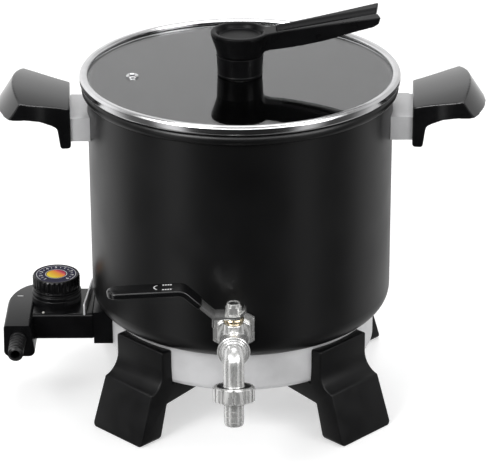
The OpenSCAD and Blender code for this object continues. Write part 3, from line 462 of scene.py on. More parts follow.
def metal(name, colour, roughness, brush, depth, pure=1.0, turned_round=False, grain=(1, 1, 1)):
    """Metal with brush or polish lines, and roughness that changes a little along them."""
    made, tree, shader, place = surface(name, roughness, pure)
    if turned_round:
        lines_place = rings_place(tree, place)
    else:
        lines_place = add_node(tree, "ShaderNodeMapping", {"Vector": place, "Scale": grain}).outputs["Vector"]
    lines = mottle(tree, lines_place, brush, 3, 0.6)
    wide = mottle(tree, place, 22, 4)
    tree.links.new(tint(tree, wide, shade(colour, 0.93), shade(colour, 1.04)), shader.inputs["Base Color"])
    tree.links.new(between(tree, maths(tree, "ADD", lines, wide), roughness * 0.8, roughness * 1.25, 0.75,
        1.25), shader.inputs["Roughness"])
    bump(tree, shader, lines, 0.3, depth)
    return made


def pot_finish(colours):
    """Baked non-stick coating: near black, with a fine orange peel and a soft sheen."""
    made, tree, shader, place = surface("pot_coating", 0.36, Specular_IOR_Level=0.42)
    fine = mottle(tree, place, 0.55, 3)
    wide = mottle(tree, place, 45, 5)
    speck = mottle(tree, place, 0.9, 1)
    spread = maths(tree, "MULTIPLY", wide, speck)
    dark = colours.pot_colour
    tree.links.new(tint(tree, spread, shade(dark, 0.85), shade(dark, 1.3), 0.15, 0.4),
        shader.inputs["Base Color"])
    tree.links.new(between(tree, wide, 0.32, 0.4), shader.inputs["Roughness"])
    bump(tree, shader, fine, 0.25, 0.03)
    return made


def glass_finish(colours):
    """Smoked tempered glass, wiped but not spotless."""
    made, tree, shader, place = surface("lid_glass", 0.01, Transmission_Weight=1.0, IOR=1.5)
    wide = mottle(tree, place, 40, 5, 0.6)
    tree.links.new(tint(tree, wide, shade(colours.glass_colour, 0.97), shade(colours.glass_colour, 1.02)),
        shader.inputs["Base Color"])
    tree.links.new(between(tree, wide, 0.005, 0.03), shader.inputs["Roughness"])
    return made


def dial_finish(colours):
    """The dial's printed plate: navy, with a warm round field that goes from yellow to red."""
    made, tree, shader, place = surface("dial_print", 0.4, Specular_IOR_Level=0.08)
    centred = add_node(tree, "ShaderNodeMapping", {"Vector": place,
        "Location": (-DIAL_X * MM, 0, 0)}).outputs["Vector"]
    far, parts = from_axis(tree, centred)
    inside = between(tree, far, 1.0, 0.0, 7.9 * MM, 8.3 * MM)
    sweep = maths(tree, "ADD", parts["X"], parts["Y"])
    warm = add_node(tree, "ShaderNodeValToRGB", {"Fac": between(tree, sweep, 0, 1, -8 * MM, 9 * MM)})
    ramp = warm.color_ramp
    ramp.elements[0].color = (*colours.dial_warm[:3], 1)
    ramp.elements[1].color = (0.55, 0.03, 0.09, 1)
    ramp.elements.new(0.62).color = (0.95, 0.35, 0.03, 1)
    ramp.elements.new(0.82).color = (0.85, 0.16, 0.12, 1)
    navy = tint(tree, mottle(tree, place, 3), shade(colours.dial_colour, 0.8),
        shade(colours.dial_colour, 1.25))
    mixed = add_node(tree, "ShaderNodeMix", data_type="RGBA")
    tree.links.new(inside, mixed.inputs["Factor"])
    tree.links.new(navy, mixed.inputs["A"])
    tree.links.new(warm.outputs["Color"], mixed.inputs["B"])
    tree.links.new(mixed.outputs["Result"], shader.inputs["Base Color"])
    bump(tree, shader, mottle(tree, place, 0.25), 0.1, 0.01)
    return made


def make_materials(colours):
    """Makes one material for each of the record's slots."""
    black = colours.plastic_colour
    nickel = colours.nickel_colour
    pot_finish(colours)
    glass_finish(colours)
    dial_finish(colours)
    metal("satin_aluminium", colours.base_colour, 0.45, 0.35, 0.02, 0.25, turned_round=True)
    metal("heater_sheath", (0.2, 0.19, 0.18), 0.5, 0.6, 0.03)
    metal("bright_steel", (0.74, 0.74, 0.75), 0.16, 0.5, 0.004, turned_round=True)
    metal("brushed_steel", (0.78, 0.78, 0.79), 0.35, 0.3, 0.012, 0.25, grain=(1, 0.04, 1))
    metal("nickel_plate", nickel, 0.26, 2.5, 0.006, 0.72, grain=(1, 1, 0.3))
    metal("lever_steel", nickel, 0.14, 0.6, 0.004, 0.88, grain=(0.1, 1, 1))
    metal("gland_brass", colours.brass_colour, 0.24, 0.5, 0.01, grain=(1, 1, 4))
    plastic("white_ceramic", (0.78, 0.76, 0.7), 0.4, 0.5, 0.02, 0.08)
    plastic("silicone", (0.6, 0.58, 0.55), 0.5, 0.8, 0.02, 0.1)
    plastic("black_rubber", (0.006, 0.006, 0.0065), 0.4, 0.5, 0.03, Specular_IOR_Level=0.3)
    plastic("ptfe", (0.82, 0.82, 0.8), 0.35, 0.6, 0.01, 0.06)
    plastic("foot_plastic", shade(black, 0.7), 0.42, 0.45, 0.03, Specular_IOR_Level=0.25)
    plastic("grip_plastic", black, 0.13, 1.2, 0.004, Coat_Weight=0.5, Coat_Roughness=0.05)
    plastic("handle_plastic", black, 0.3, 0.9, 0.008, Specular_IOR_Level=0.08)
    plastic("control_plastic", black, 0.24, 0.4, 0.012, Specular_IOR_Level=0.3)
    plastic("sleeve_vinyl", shade(black, 0.8), 0.2, 1.8, 0.02, Coat_Weight=0.3, Coat_Roughness=0.1)
    plastic("lamp_lens", (0.8, 0.78, 0.72), 0.12, 0.8, 0.01, 0.05, Transmission_Weight=0.25)
    plastic("print_white", (0.8, 0.8, 0.8), 0.4, 0.3, 0.004, 0.04)


def finish_frame():
    """Gives each CAD node the material of its slot in the record."""
    slots = {}

    def walk(item):
        if isinstance(item, dict):
            if "node" in item and "material_slot" in item:
                slots[item["node"]] = item["material_slot"]
            for value in item.values():
                walk(value)
        elif isinstance(item, list):
            for value in item:
                walk(value)

    walk(frame["record"])
    for name, piece in frame["nodes"].items():
        if name not in slots:
            raise RuntimeError(f"the record gives {name} no material slot")
        chosen = MATERIALS[slots[name]]
        if not piece.material_slots:
            piece.data.materials.append(chosen)
        for place in piece.material_slots:
            place.material = chosen


# ---- settings ----

def length(name, description, default):
    """A length property with its default in millimetres."""
    return bpy.props.FloatProperty(name=name, description=description, default=default * MM,
        unit="LENGTH", min=0.0, precision=5)


def colour(name, description, default):
    """A colour property."""
    return bpy.props.FloatVectorProperty(name=name, description=description, default=default,
        subtype="COLOR", size=3, min=0.0, max=1.0)


class MelterSizes(bpy.types.PropertyGroup):
    """Sizes of the detail that the pieces add to the frame."""

    foot_edge: length("Foot edges", "Radius of the edges of the feet", 1.6)
    grip_crown: length("Grip crown", "How far the grip's top is crowned across its width", 3.0)
    bracket_edge: length("Bracket edges", "Radius of the folds of the steel brackets", 0.9)
    housing_edge: length("Housing edges", "Radius of the edges of the heat control's housing", 1.1)
    lever_edge: length("Lever edges", "Radius of the edges of the tap's lever", 0.35)
    sleeve_edge: length("Sleeve edges", "Radius of the edges of the lever's dipped sleeve", 1.5)
    flute_depth: length("Nut flutes", "Depth of the flutes round the hose nut", 1.1)
    figure_size: length("Dial figures", "Height of the figures on the dial", 4.2)


class MelterColours(bpy.types.PropertyGroup):
    """Colours of the finishes."""

    pot_colour: colour("Pot", "Matt coating of the pot", (0.004, 0.004, 0.0043))
    plastic_colour: colour("Black plastic", "Feet, grips, lid handle and housing", (0.005, 0.005, 0.0055))
    base_colour: colour("Base pan", "Satin metal of the base", (0.8, 0.8, 0.81))
    nickel_colour: colour("Nickel", "Plated metal of the tap", (0.8, 0.8, 0.79))
    brass_colour: colour("Gland", "Pale brass under the lever", (0.72, 0.62, 0.44))
    glass_colour: colour("Glass", "Smoked glass of the lid", (0.66, 0.67, 0.68))
    dial_colour: colour("Dial", "Ground of the dial's printed plate", (0.012, 0.01, 0.04))
    dial_warm: colour("Dial centre", "Warm field in the middle of the dial", (0.95, 0.72, 0.05))
    floor_colour: colour("Floor", "Floor under the object", (0.8, 0.8, 0.8))


def setting(name):
    """One of the sizes, in millimetres."""
    return getattr(bpy.context.scene.melter_sizes, name) / MM


# ---- the pieces ----

class MELTER_OT_finishes(bpy.types.Operator):
    """Make the finishes and give each node of the frame its own"""

    bl_idname = "melter.finishes"
    bl_label = "Finishes"

    def execute(self, context):
        make_materials(context.scene.melter_colours)
        finish_frame()
        return {"FINISHED"}


class MELTER_OT_stage(bpy.types.Operator):
    """Add the floor, the soft light, the pale surroundings and the camera"""

    bl_idname = "melter.stage"
    bl_label = "Stage"

    def execute(self, context):
        colours = context.scene.melter_colours
        self.add_floor(colours)
        self.add_surroundings(context)
        self.add_lamps()
        self.add_camera(context)
        return {"FINISHED"}

    def add_floor(self, colours):
        deselect()
        bpy.ops.mesh.primitive_plane_add(size=FLOOR_SIZE)
        floor = bpy.context.object
        floor.name = "floor"
        made, tree, shader, place = surface("floor", 0.22)
        shader.inputs["Specular IOR Level"].default_value = 0.3
        cloud = mottle(tree, place, 300, 3)
        tree.links.new(tint(tree, cloud, shade(colours.floor_colour, 0.995), colours.floor_colour),
            shader.inputs["Base Color"])
        rays = add_node(tree, "ShaderNodeLightPath").outputs
        seen = maths(tree, "MAXIMUM", rays["Is Camera Ray"], rays["Is Transmission Ray"])
        lift = maths(tree, "MULTIPLY", seen, FLOOR_LIFT)
        glow = add_node(tree, "ShaderNodeEmission", {"Color": (1, 1, 1, 1), "Strength": lift})
        both = add_node(tree, "ShaderNodeAddShader", {0: shader.outputs["BSDF"],
            1: glow.outputs["Emission"]})
        clear = add_node(tree, "ShaderNodeBsdfTransparent")
        shown = add_node(tree, "ShaderNodeMixShader", {0: rays["Is Glossy Ray"], 1: both.outputs["Shader"],
            2: clear.outputs["BSDF"]})
        tree.links.new(shown.outputs["Shader"], tree.nodes["Material Output"].inputs["Surface"])
        floor.data.materials.append(made)

    def add_surroundings(self, context):
        """A white backdrop; mirrored rays see a dark front, soft boxes, and bright sides and back."""
        world = bpy.data.worlds.new("studio")
        context.scene.world = world
        world.use_nodes = True
        tree = world.node_tree
        back = tree.nodes["Background"]
        rays = add_node(tree, "ShaderNodeLightPath").outputs
        place = add_node(tree, "ShaderNodeTexCoord").outputs["Generated"]
        parts = add_node(tree, "ShaderNodeSeparateXYZ", {"Vector": place}).outputs
        aside, ahead = maths(tree, "ABSOLUTE", parts["X"]), maths(tree, "MULTIPLY", parts["Y"], -1.0)
        round_by = between(tree, maths(tree, "ARCTAN2", aside, ahead), 0, 1, 0, math.pi)
        up = between(tree, parts["Z"], 0, 1, -1, 1)
        walls = self.greys(tree, round_by,
            ((0.0, 0.02), (0.2, 0.03), (0.25, 0.9), (0.29, 0.9), (0.36, 0.08), (0.48, 0.14), (0.6, 0.95),
            (1.0, 1.0)))
        dome = self.greys(tree, up, ((0.0, 0.5), (0.3, 0.9), (0.72, 1.0), (0.84, 0.55), (1.0, 0.5)))
        walls = maths(tree, "MULTIPLY", walls, between(tree, parts["X"], 1.15, 0.75, -0.6, 0.6))
        tent = maths(tree, "MULTIPLY", walls, dome)
        above = self.greys(tree, up, ((0.0, 0.0), (0.74, 0.0), (0.78, 1.0), (0.84, 1.0), (0.88, 0.1),
            (1.0, 0.1)))
        near = self.greys(tree, round_by, ((0.0, 1.0), (0.36, 1.0), (0.5, 0.0)))
        above = maths(tree, "MULTIPLY", above, near)
        tent = maths(tree, "MULTIPLY_ADD", above, BOX_LIGHT, tent)
        open_air = maths(tree, "MAXIMUM", rays["Is Camera Ray"], rays["Is Transmission Ray"])
        strength = add_node(tree, "ShaderNodeMix", {"Factor": rays["Is Glossy Ray"],
            "A": between(tree, open_air, SOFT_LIGHT, 1.0, 0, 1), "B": tent})
        tree.links.new(strength.outputs["Result"], back.inputs["Strength"])
        back.inputs["Color"].default_value = (1, 1, 1, 1)

    def greys(self, tree, value, stops):
        """A grey for each place between 0 and 1."""
        made = add_node(tree, "ShaderNodeValToRGB", {"Fac": value})
        ramp = made.color_ramp
        ramp.elements[0].position, ramp.elements[1].position = stops[0][0], stops[-1][0]
        ramp.elements[0].color, ramp.elements[1].color = ((*[g] * 3, 1) for g in (stops[0][1], stops[-1][1]))
        for at, grey in stops[1:-1]:
            ramp.elements.new(at).color = (grey, grey, grey, 1)
        return made.outputs["Color"]

    def add_lamps(self):
        for name, place, size, power in (
            ("key", (-1.5, -1.6, 1.9), 1.3, 34),
            ("fill", (1.7, -1.2, 1.3), 1.1, 13),
            ("top", (0.1, 0.5, 2.3), 1.6, 20),
        ):
            deselect()
            bpy.ops.object.light_add(type="AREA", location=place)
            lamp = bpy.context.object
            lamp.name = name
            lamp.data.shape = "DISK"
            lamp.data.size = size
            lamp.data.energy = power
            aim = Vector((0, 0, 0.15)) - Vector(place)
            lamp.rotation_euler = aim.to_track_quat("-Z", "Y").to_euler()

    def add_camera(self, context):
        deselect()
        bpy.ops.object.camera_add(location=CAMERA_PLACE)
        camera = bpy.context.object
        camera.name = "camera"
        camera.data.sensor_width = SENSOR
        camera.data.lens = FOCAL_PIXELS * SENSOR / FRAME_WIDTH
        camera.data.clip_end = 60
        tilt = math.radians(CAMERA_TILT)
        ahead, up = Vector((0, math.cos(tilt), -math.sin(tilt))), Vector((0, math.sin(tilt), math.cos(tilt)))
        right = (FRAME_WIDTH / 2 - TARGET_AT[0]) / FOCAL_PIXELS
        down = (FRAME_HEIGHT / 2 - TARGET_AT[1]) / FOCAL_PIXELS
        turn = (ahead + X * right - up * down).to_track_quat("-Z", "Y")
        roll = Matrix.Rotation(math.radians(CAMERA_ROLL), 4, "Z")
        camera.rotation_euler = (turn.to_matrix().to_4x4() @ roll).to_euler()
        context.scene.camera = camera


class MELTER_OT_feet(bpy.types.Operator):
    """Model one moulded foot with eased edges, cut it to the pan and turn copies of it"""

    bl_idname = "melter.feet"
    bl_label = "Feet"

    def execute(self, context):
        pan, clear, top = high("base_pan", 0), low("base_pan", 2), high("foot_front_left", 2)
        sweep = arc((pan + 22.5, clear + 13.3), 16, 180, 261, 8)
        side = [(pan + 6.5, top), *sweep, (pan + 34.5, 0), (pan + 11.5, 0), (pan + 3, clear - 16),
            (pan - 31.5, clear - 12), (pan - 31.5, clear - 0.05), (pan - 8, clear - 0.05), (pan - 8, top)]
        first = prism("foot_front_left_moulded", side, -32, 32, Y)
        front = rounded([(-29.6, 0), (29.6, 0), (28, 48), (27.4, 60), (27.4, 90), (-27.4, 90), (-27.4, 60),
            (-28, 48)], [4, 4, 0, 0, 0, 0, 0, 0], 4)
        combine(first, prism("front", front, 60, 170, X), "INTERSECT")
        ease(first, setting("foot_edge"), 4, 30)
        combine(first, drum("pan", pan + 0.1, (0, 0, clear - 0.02), 40, Z, 240))
        first.rotation_euler[2] = math.radians(225)
        apply_place(first)
        copies = [turned(first, f"foot_{name}_moulded", angle)
            for name, angle in (("front_right", 90), ("back_right", 180), ("back_left", 270))]
        for piece in [first, *copies]:
            settle(piece, "pot", "foot_plastic", piece.name.replace("_moulded", ""))
        return {"FINISHED"}


class MELTER_OT_brackets(bpy.types.Operator):
    """Ease the steel brackets' folds into soft bends along their edges, and add a seat for each turned grip"""

    bl_idname = "melter.brackets"
    bl_label = "Brackets"

    def execute(self, context):
        for side in ("left", "right"):
            piece = copy_node(f"bracket_{side}", f"bracket_{side}_folded")
            ease(piece, setting("bracket_edge"), 3, 40)
            sign = 1 if side == "right" else -1
            face, half = high("bracket_right", 0), high("bracket_right", 1)
            seat = [(sign * (face - 1), -half + 1), (sign * (face + (33 - half) * math.tan(GRIP_YAW)),
                -half + 1),
                (sign * (face + (31 + half) * math.tan(GRIP_YAW)), half - 1), (sign * (face - 1), half - 1)]
            wedge = prism("seat", seat, low("bracket_right", 2) + 0.6, high("bracket_right", 2) - 0.6)
            combine(piece, ease(wedge, 0.2, 1, 40), "UNION")
            settle(piece, "pot", "brushed_steel", f"bracket_{side}")
        return {"FINISHED"}


class MELTER_OT_grips(bpy.types.Operator):
    """Model a crowned grip with its skirt and finger hollow, and mirror it"""

    bl_idname = "melter.grips"
    bl_label = "Grips"

    def execute(self, context):
        face, top = high("bracket_right", 0), high("bracket_right", 2) + 1
        end_r, slope, rise, run = 77, 0.663, 13.4, 46.9
        under = [(11, -9), (12.4, -7.4), (15.5, -5.4), (24.7, -0.8), (36, 2), (50, 2.6), (62, 4)]
        over = [(62, 33), (46.9, 25.8), (38, 22.8), (26, 19), (12, 15), (0, 11.4)]
        skirt = rounded([(0, -10), (0, -26.5), (8.5, -26.5), (10.4, -12)], [0, 2.2, 2.6, 0], 4)
        piece = prism("grip_right_moulded", placed(face, top, skirt + under + over), -43, 43, Y)
        half = curve_through([(-1, 30.2), (8, 31.4), (18, 33.8), (28, 37), (36, 39.3), (42, 40.2), (48, 39.6),
            (56, 37.4), (70, 34)], 4)
        plan = placed(face, 0, half + [(x, -y) for x, y in reversed(half)])
        combine(piece, prism("plan", plan, top - 40, top + 40), "INTERSECT")
        end = arc((face - 17.4, 0), end_r, -51, 51, 40)
        end = [(face - 90, end[0][1]), *end, (face - 90, end[-1][1])]
        low_end, high_end = top - 36, top + 44
        lean = X * slope * (low_end - high_end)
        end = [(x + slope * (top + 4 - low_end), y) for x, y in end]
        combine(piece, prism("end", end, low_end, high_end, lean=lean), "INTERSECT")
        crown = setting("grip_crown")
        spread = 38
        radius = (spread ** 2 + crown ** 2) / (2 * crown)
        reach = math.degrees(math.asin((spread + 6) / radius))
        roof = arc((0, -radius), radius, 90 + reach, 90 - reach, 24)
        tool = prism("crown", roof + [(44, -80), (-44, -80)], -60, 90, X)
        tool.rotation_euler = (math.radians(2), -math.atan2(rise, run), 0)
        tool.location = Vector((face, 0, top + 10.2)) * MM
        apply_place(tool)
        combine(piece, tool, "INTERSECT")
        soften(piece, 0.65, 6)
        left = turned(piece, "grip_left_moulded", 0)
        left.scale[0] = -1
        apply_place(left)
        edit(left)
        bpy.ops.mesh.normals_make_consistent(inside=False)
        bpy.ops.object.mode_set(mode="OBJECT")
        for made, side in ((piece, 1), (left, -1)):
            pivot = Vector((side * face, -32, 0)) * MM
            seat = Vector((-side * GRIP_SET[side], 0, 0)) * MM
            made.matrix_world = (Matrix.Translation(pivot + seat) @ Matrix.Rotation(-side * GRIP_YAW, 4, "Z")
                @ Matrix.Translation(-pivot))
            apply_place(made)
            settle(made, "pot", "grip_plastic", made.name.replace("_moulded", ""), angle=0)
        return {"FINISHED"}


class MELTER_OT_lid(bpy.types.Operator):
    """Turn the lid's rolled steel band and the vent's eyelet"""

    bl_idname = "melter.lid"
    bl_label = "Lid band and vent"

    def execute(self, context):
        r, z0, z1 = BAND_R, BAND_LOW, BAND_TOP
        glass_r, glass_z = high("lid_glass", 0), low("lid_glass", 2)
        corners = [(r - 6.4, GLASS_TOP + 0.1), (r - 6.5, z1 - 1.2), (r - 4.6, z1), (r - 1.6, z1),
            (r, z1 - 2.2), (r, z0 + 1.6), (r - 1.2, z0), (r - 4.4, z0), (r - 4.4, glass_z - 0.1),
            (glass_r + 0.1, glass_z - 0.1), (glass_r + 0.1, GLASS_TOP + 0.1)]
        profile = rounded(corners, [0.4, 1.4, 2.2, 1.8, 2.0, 1.2, 1.0, 0.3, 0.1, 0.1, 0.1], 5)
        band = lathe("lid_band_rolled", profile, ring=True, steps=240)
        settle(band, "lid", "bright_steel", "lid_band", angle=50)
        place = (mid("vent_eyelet", 0), mid("vent_eyelet", 1), GLASS_TOP)
        eyelet = lathe("vent_eyelet_rolled", rounded([(2.3, -4.3), (2.3, 0.9), (3.1, 1.35), (4.4, 1.3),
            (5.75, 0.0), (3.35, 0.0), (3.35, -3.25), (4.7, -3.3), (4.7, -4.3)], 0.35, 4),
            place, ring=True, steps=48)
        settle(eyelet, "lid", "bright_steel", "vent_eyelet", angle=50)
        return {"FINISHED"}


class MELTER_OT_lid_handle(bpy.types.Operator):
    """Model the lid's post, and the handle's head and arm with its trough, slot and notch"""

    bl_idname = "melter.lid_handle"
    bl_label = "Lid handle"

    def execute(self, context):
        foot_r = high("handle_post", 0) - 0.75
        post = lathe("handle_post_turned", filled(placed(foot_r, GLASS_TOP, [(-0.2, 0), (0.15, 1.6),
            (-0.35, 2.3), (-0.1, 3.2)]) + placed(foot_r, POST_TOP, [(0.7, -0.5), (0.2, 0)]), 0.5), steps=96)
        settle(post, "lid", "handle_plastic", "handle_post", angle=50, slot="grip_plastic")

        base, head = POST_TOP, POST_TOP + 19.5
        profile = placed(0, base, [(0, 0), (18.2, 0), (18.9, 0.9), (19.6, 4), (22.4, 12.4), (23.9, 17),
            (24.1, 18.6), (23.3, 19.5), (20.4, 19.5), (19.4, 19), (17.2, 15.9), (16.4, 15.3), (0, 15.3)])
        piece = lathe("lid_handle_moulded", profile, steps=96)
        under = curve_through([(0, 0.4), (16, 1.5), (21, 5), (27, 6.2), (34, 7.1), (50, 10.2), (71, 15.7),
            (92, 23), (107.5, 28)], 4)
        over = [(111.6, 31), (113, 36.3), (73, 29), (34, 21.8), (26, 20.2), (20.4, 19.2), (15, 13.5), (0, 12.5)]
        arm = prism("arm", placed(0, base, under + over), -20, 20, Y)
        half = curve_through([(2, 11), (20, 10.4), (31, 10), (50, 11.6), (70, 13.8), (90, 16.5),
            (104, 18.6), (112, 19.6), (113.2, 18.8), (109.6, 0)], 4)
        plan = half + [(x, -y) for x, y in reversed(half[:-1])]
        combine(arm, prism("plan", plan, base - 5, base + 45), "INTERSECT")
        combine(piece, arm, "UNION")
        combine(piece, drum("recess", 17.6, (0, 0, head - 4.2), 20, Z, 96))
        trough = drum("trough", 11, (0, 0, 0), 113, X, 96)
        trough.rotation_euler[1] = -math.atan2(14.6, 79)
        trough.location = Vector((28, 0, head + 9.2)) * MM
        apply_place(trough)
        combine(piece, trough)
        slot = rounded([(34, -2.6), (91, -2.6), (91, 2.6), (34, 2.6)], 2.5, 8)
        combine(piece, prism("slot", slot, base - 5, base + 45))
        soften(piece, 0.6, 7)
        settle(piece, "lid", "handle_plastic", "lid_handle", angle=0, slot="grip_plastic")
        return {"FINISHED"}


class MELTER_OT_tap(bpy.types.Operator):
    """Model the tap's hexagon, body, neck, gland and spout"""

    bl_idname = "melter.tap"
    bl_label = "Tap"

    def execute(self, context):
        centre = (TAP_X, 0, TAP_Z)
        face = -low("outer_gasket", 1)
        shoulder = -high("tap_body", 1)
        front = -low("tap_body", 1)
        hexagon = self.wrench_hexagon("tap_hexagon", 16.5, face, shoulder, 18.4)
        combine(hexagon, drum("shank", 9.6, (TAP_X, -shoulder + 2, TAP_Z),
            high("tap_nipple", 1) + shoulder - 2, Y, 64), "UNION")
        combine(hexagon, drum("bore", 7.6, (TAP_X, -face, TAP_Z), 60, Y, 48))
        settle(hexagon, "pot", "nickel_plate", "tap_nipple")

        profile = filled(placed(0, shoulder, [(10.6, 0.1), (11.6, 4), (11.4, 8)])
            + placed(0, front, [(11.2, -8), (12.2, -6.4), (12.2, -0.8), (11.6, 0)]), 0.9)
        body = lathe("tap_body_cast", profile, centre, -Y, steps=96)
        combine(body, self.wrench_hexagon("hexagon", 13, shoulder, shoulder + 7, 14.4), "UNION")
        neck_r = (high("gland_nut", 0) - low("gland_nut", 0)) / 2
        neck_top = high("tap_body", 2)
        neck = lathe("neck", [(0, TAP_Z), (9.8, TAP_Z), (9.0, TAP_Z + 8), (neck_r + 0.2, TAP_Z + 12.2),
            (neck_r, neck_top - 0.6), (neck_r - 0.5, neck_top), (0, neck_top)], STEM, steps=96)
        combine(body, neck, "UNION")
        soften(body, 0.45, 5)
        settle(body, "pot", "nickel_plate", "tap_body", angle=0)

        top = high("gland_nut", 2)
        gland = lathe("gland_nut_turned", filled([(6.3, neck_top - 0.4), (6.3, neck_top + 1.2),
            (neck_r - 0.6, neck_top + 1.3), (neck_r, neck_top + 2.2), (neck_r, top - 1.4),
            (neck_r - 0.9, top - 0.2)], 0.3), STEM, steps=72)
        for turn in range(6):
            a = math.radians(30 + 60 * turn)
            nick = drum("nick", 1.1, (TAP_X + (neck_r + 0.2) * math.cos(a),
                STEM_Y + (neck_r + 0.2) * math.sin(a), neck_top), 8, Z, 20)
            combine(gland, nick)
        settle(gland, "pot", "gland_brass", "gland_nut")

        start = front + 3
        rings = lathe("spout_cast", filled(placed(0, start, [(12.4, -2.95), (13, -2.2), (13, -0.7), (12.3, 0),
            (11.1, 0.1), (10.9, 1.1), (9.9, 1.3), (9.6, 2.2), (8.1, 2.9)]), 0.45), centre, -Y, steps=96)
        deselect()
        bpy.ops.mesh.primitive_circle_add(vertices=64, radius=8.2 * MM, fill_type="NGON",
            location=(TAP_X * MM, -start * MM, TAP_Z * MM), rotation=(math.pi / 2, 0, 0))
        pipe = bpy.context.object
        apply_place(pipe)
        edit(pipe)
        lean = math.radians(OUTLET_TILT)
        bpy.ops.mesh.spin(steps=24, angle=lean - math.pi / 2,
            center=(TAP_X * MM, -start * MM, BEND_Z * MM), axis=X)
        down = -Y * math.sin(lean) - Z * math.cos(lean)
        bpy.ops.mesh.extrude_region_move(TRANSFORM_OT_translate={"value": down * (BEND_Z - COLLAR_Z) * MM})
        tidy_mesh()
        bpy.ops.object.mode_set(mode="OBJECT")
        collar = swung(lathe("collar", filled(placed(0, COLLAR_Z, [(12.3, 0), (12.3, 4.4), (11.6, 5),
            (9.8, 5.1), (8.5, 6.2), (8.1, 8)]), 0.5), OUTLET, steps=96))
        for part in (pipe, collar):
            combine(rings, part, "UNION")
        settle(rings, "pot", "nickel_plate", "spout", angle=40)
        seal = swung(lathe("collar_seal", rounded(placed(0, NUT_TOP, [(8.4, -1.6), (13.4, -1.6), (13.4, -0.4),
            (8.4, -0.2)]), 0.3, 3), OUTLET, ring=True, steps=72))
        settle(seal, "pot", "black_rubber", angle=50)
        return {"FINISHED"}

    def wrench_hexagon(self, name, flat, start, end, edge_r):
        """A chamfered hexagon with flats to the left and right, between two distances to the front."""
        piece = prism(name, hexagon(TAP_X, TAP_Z, flat, 30), -start, -end, Y)
        disc = lathe("chamfer", [(0, start - 1), (edge_r, start - 1), (edge_r + 1.2, start + 1.1),
            (edge_r + 1.2, end - 1.1), (edge_r, end), (0, end)], (TAP_X, 0, TAP_Z), -Y, steps=96)
        combine(piece, disc, "INTERSECT")
        return ease(piece, 0.4, 2, 35)


class MELTER_OT_hose_end(bpy.types.Operator):
    """Model the fluted hose nut and the ringed hose tail"""

    bl_idname = "melter.hose_end"
    bl_label = "Hose nut and tail"

    def execute(self, context):
        z0, z1 = NUT_Z, NUT_TOP
        outer = (high("hose_nut", 0) - low("hose_nut", 0)) / 2
        depth = setting("flute_depth")
        outline = []
        for k in range(12):
            for turn, sunk in ((-4.5, 0), (-3.2, 0.55), (-1.6, 0.95), (0, 1), (1.6, 0.95), (3.2, 0.55),
                    (4.5, 0), (9.6, -0.16), (15, -0.22), (20.4, -0.16)):
                a = math.radians(k * 30 + turn)
                r = outer + 0.4 - depth * sunk
                outline.append((TAP_X + r * math.cos(a), SPOUT_Y + r * math.sin(a)))
        nut = prism("hose_nut_fluted", outline, z0, z1)
        chamfer = lathe("chamfer", filled([(outer - 0.6, z0), (outer + 0.7, z0 + 1.2),
            (outer + 0.7, z1 - 1.4), (outer - 0.9, z1)], 0.6), OUTLET, steps=120)
        combine(nut, chamfer, "INTERSECT")
        combine(nut, drum("bore", 13.5, (TAP_X, SPOUT_Y, z1 - 2), 20, Z, 96))
        combine(nut, drum("thread", 12.46, (TAP_X, SPOUT_Y, z0 + 1.8), 20, Z, 96))
        combine(nut, drum("hole", 8.1, (TAP_X, SPOUT_Y, z0 - 2), 20, Z, 96))
        ease(nut, 0.25, 2, 40)
        settle(swung(nut), "fluted_nut", "nickel_plate", "hose_nut")

        tail_low, tail_top = TAIL_Z, COLLAR_Z - 1.5
        r, pitch = 7.9, 4.4
        profile = [(5.2, tail_top), *placed(0, tail_low, [(5.2, 0.5), (5.6, 0), (6.3, 0.1), (7.2, 0.9),
            (7.6, 1.8)])]
        z = tail_low + pitch
        while z < z0 - 1:
            profile += placed(r, z, [(0, -0.8), (-0.45, -0.3), (-0.45, 0.1), (0, 0.3)])
            z += pitch
        profile += [(r - 0.2, z0 - 0.2), (r - 0.2, z0 + 2.2), (12, z0 + 2.2), (12, tail_top)]
        tail = lathe("hose_tail_turned", profile, OUTLET, ring=True, steps=96)
        settle(swung(tail), "pot", "nickel_plate", "hose_tail", angle=40)
        return {"FINISHED"}


def strip(points, start, end):
    """The outline of a bent strip, from an offset below its line to one above."""
    below, above = [], []
    for i, here in enumerate(points):
        a = Vector(points[max(i - 1, 0)])
        b = Vector(points[min(i + 1, len(points) - 1)])
        along = (b - a).normalized()
        across = Vector((-along.y, along.x))
        if across.y < 0:
            across = -across
        below.append(tuple(Vector(here) + across * start))
        above.append(tuple(Vector(here) + across * end))
    return below + above[::-1]


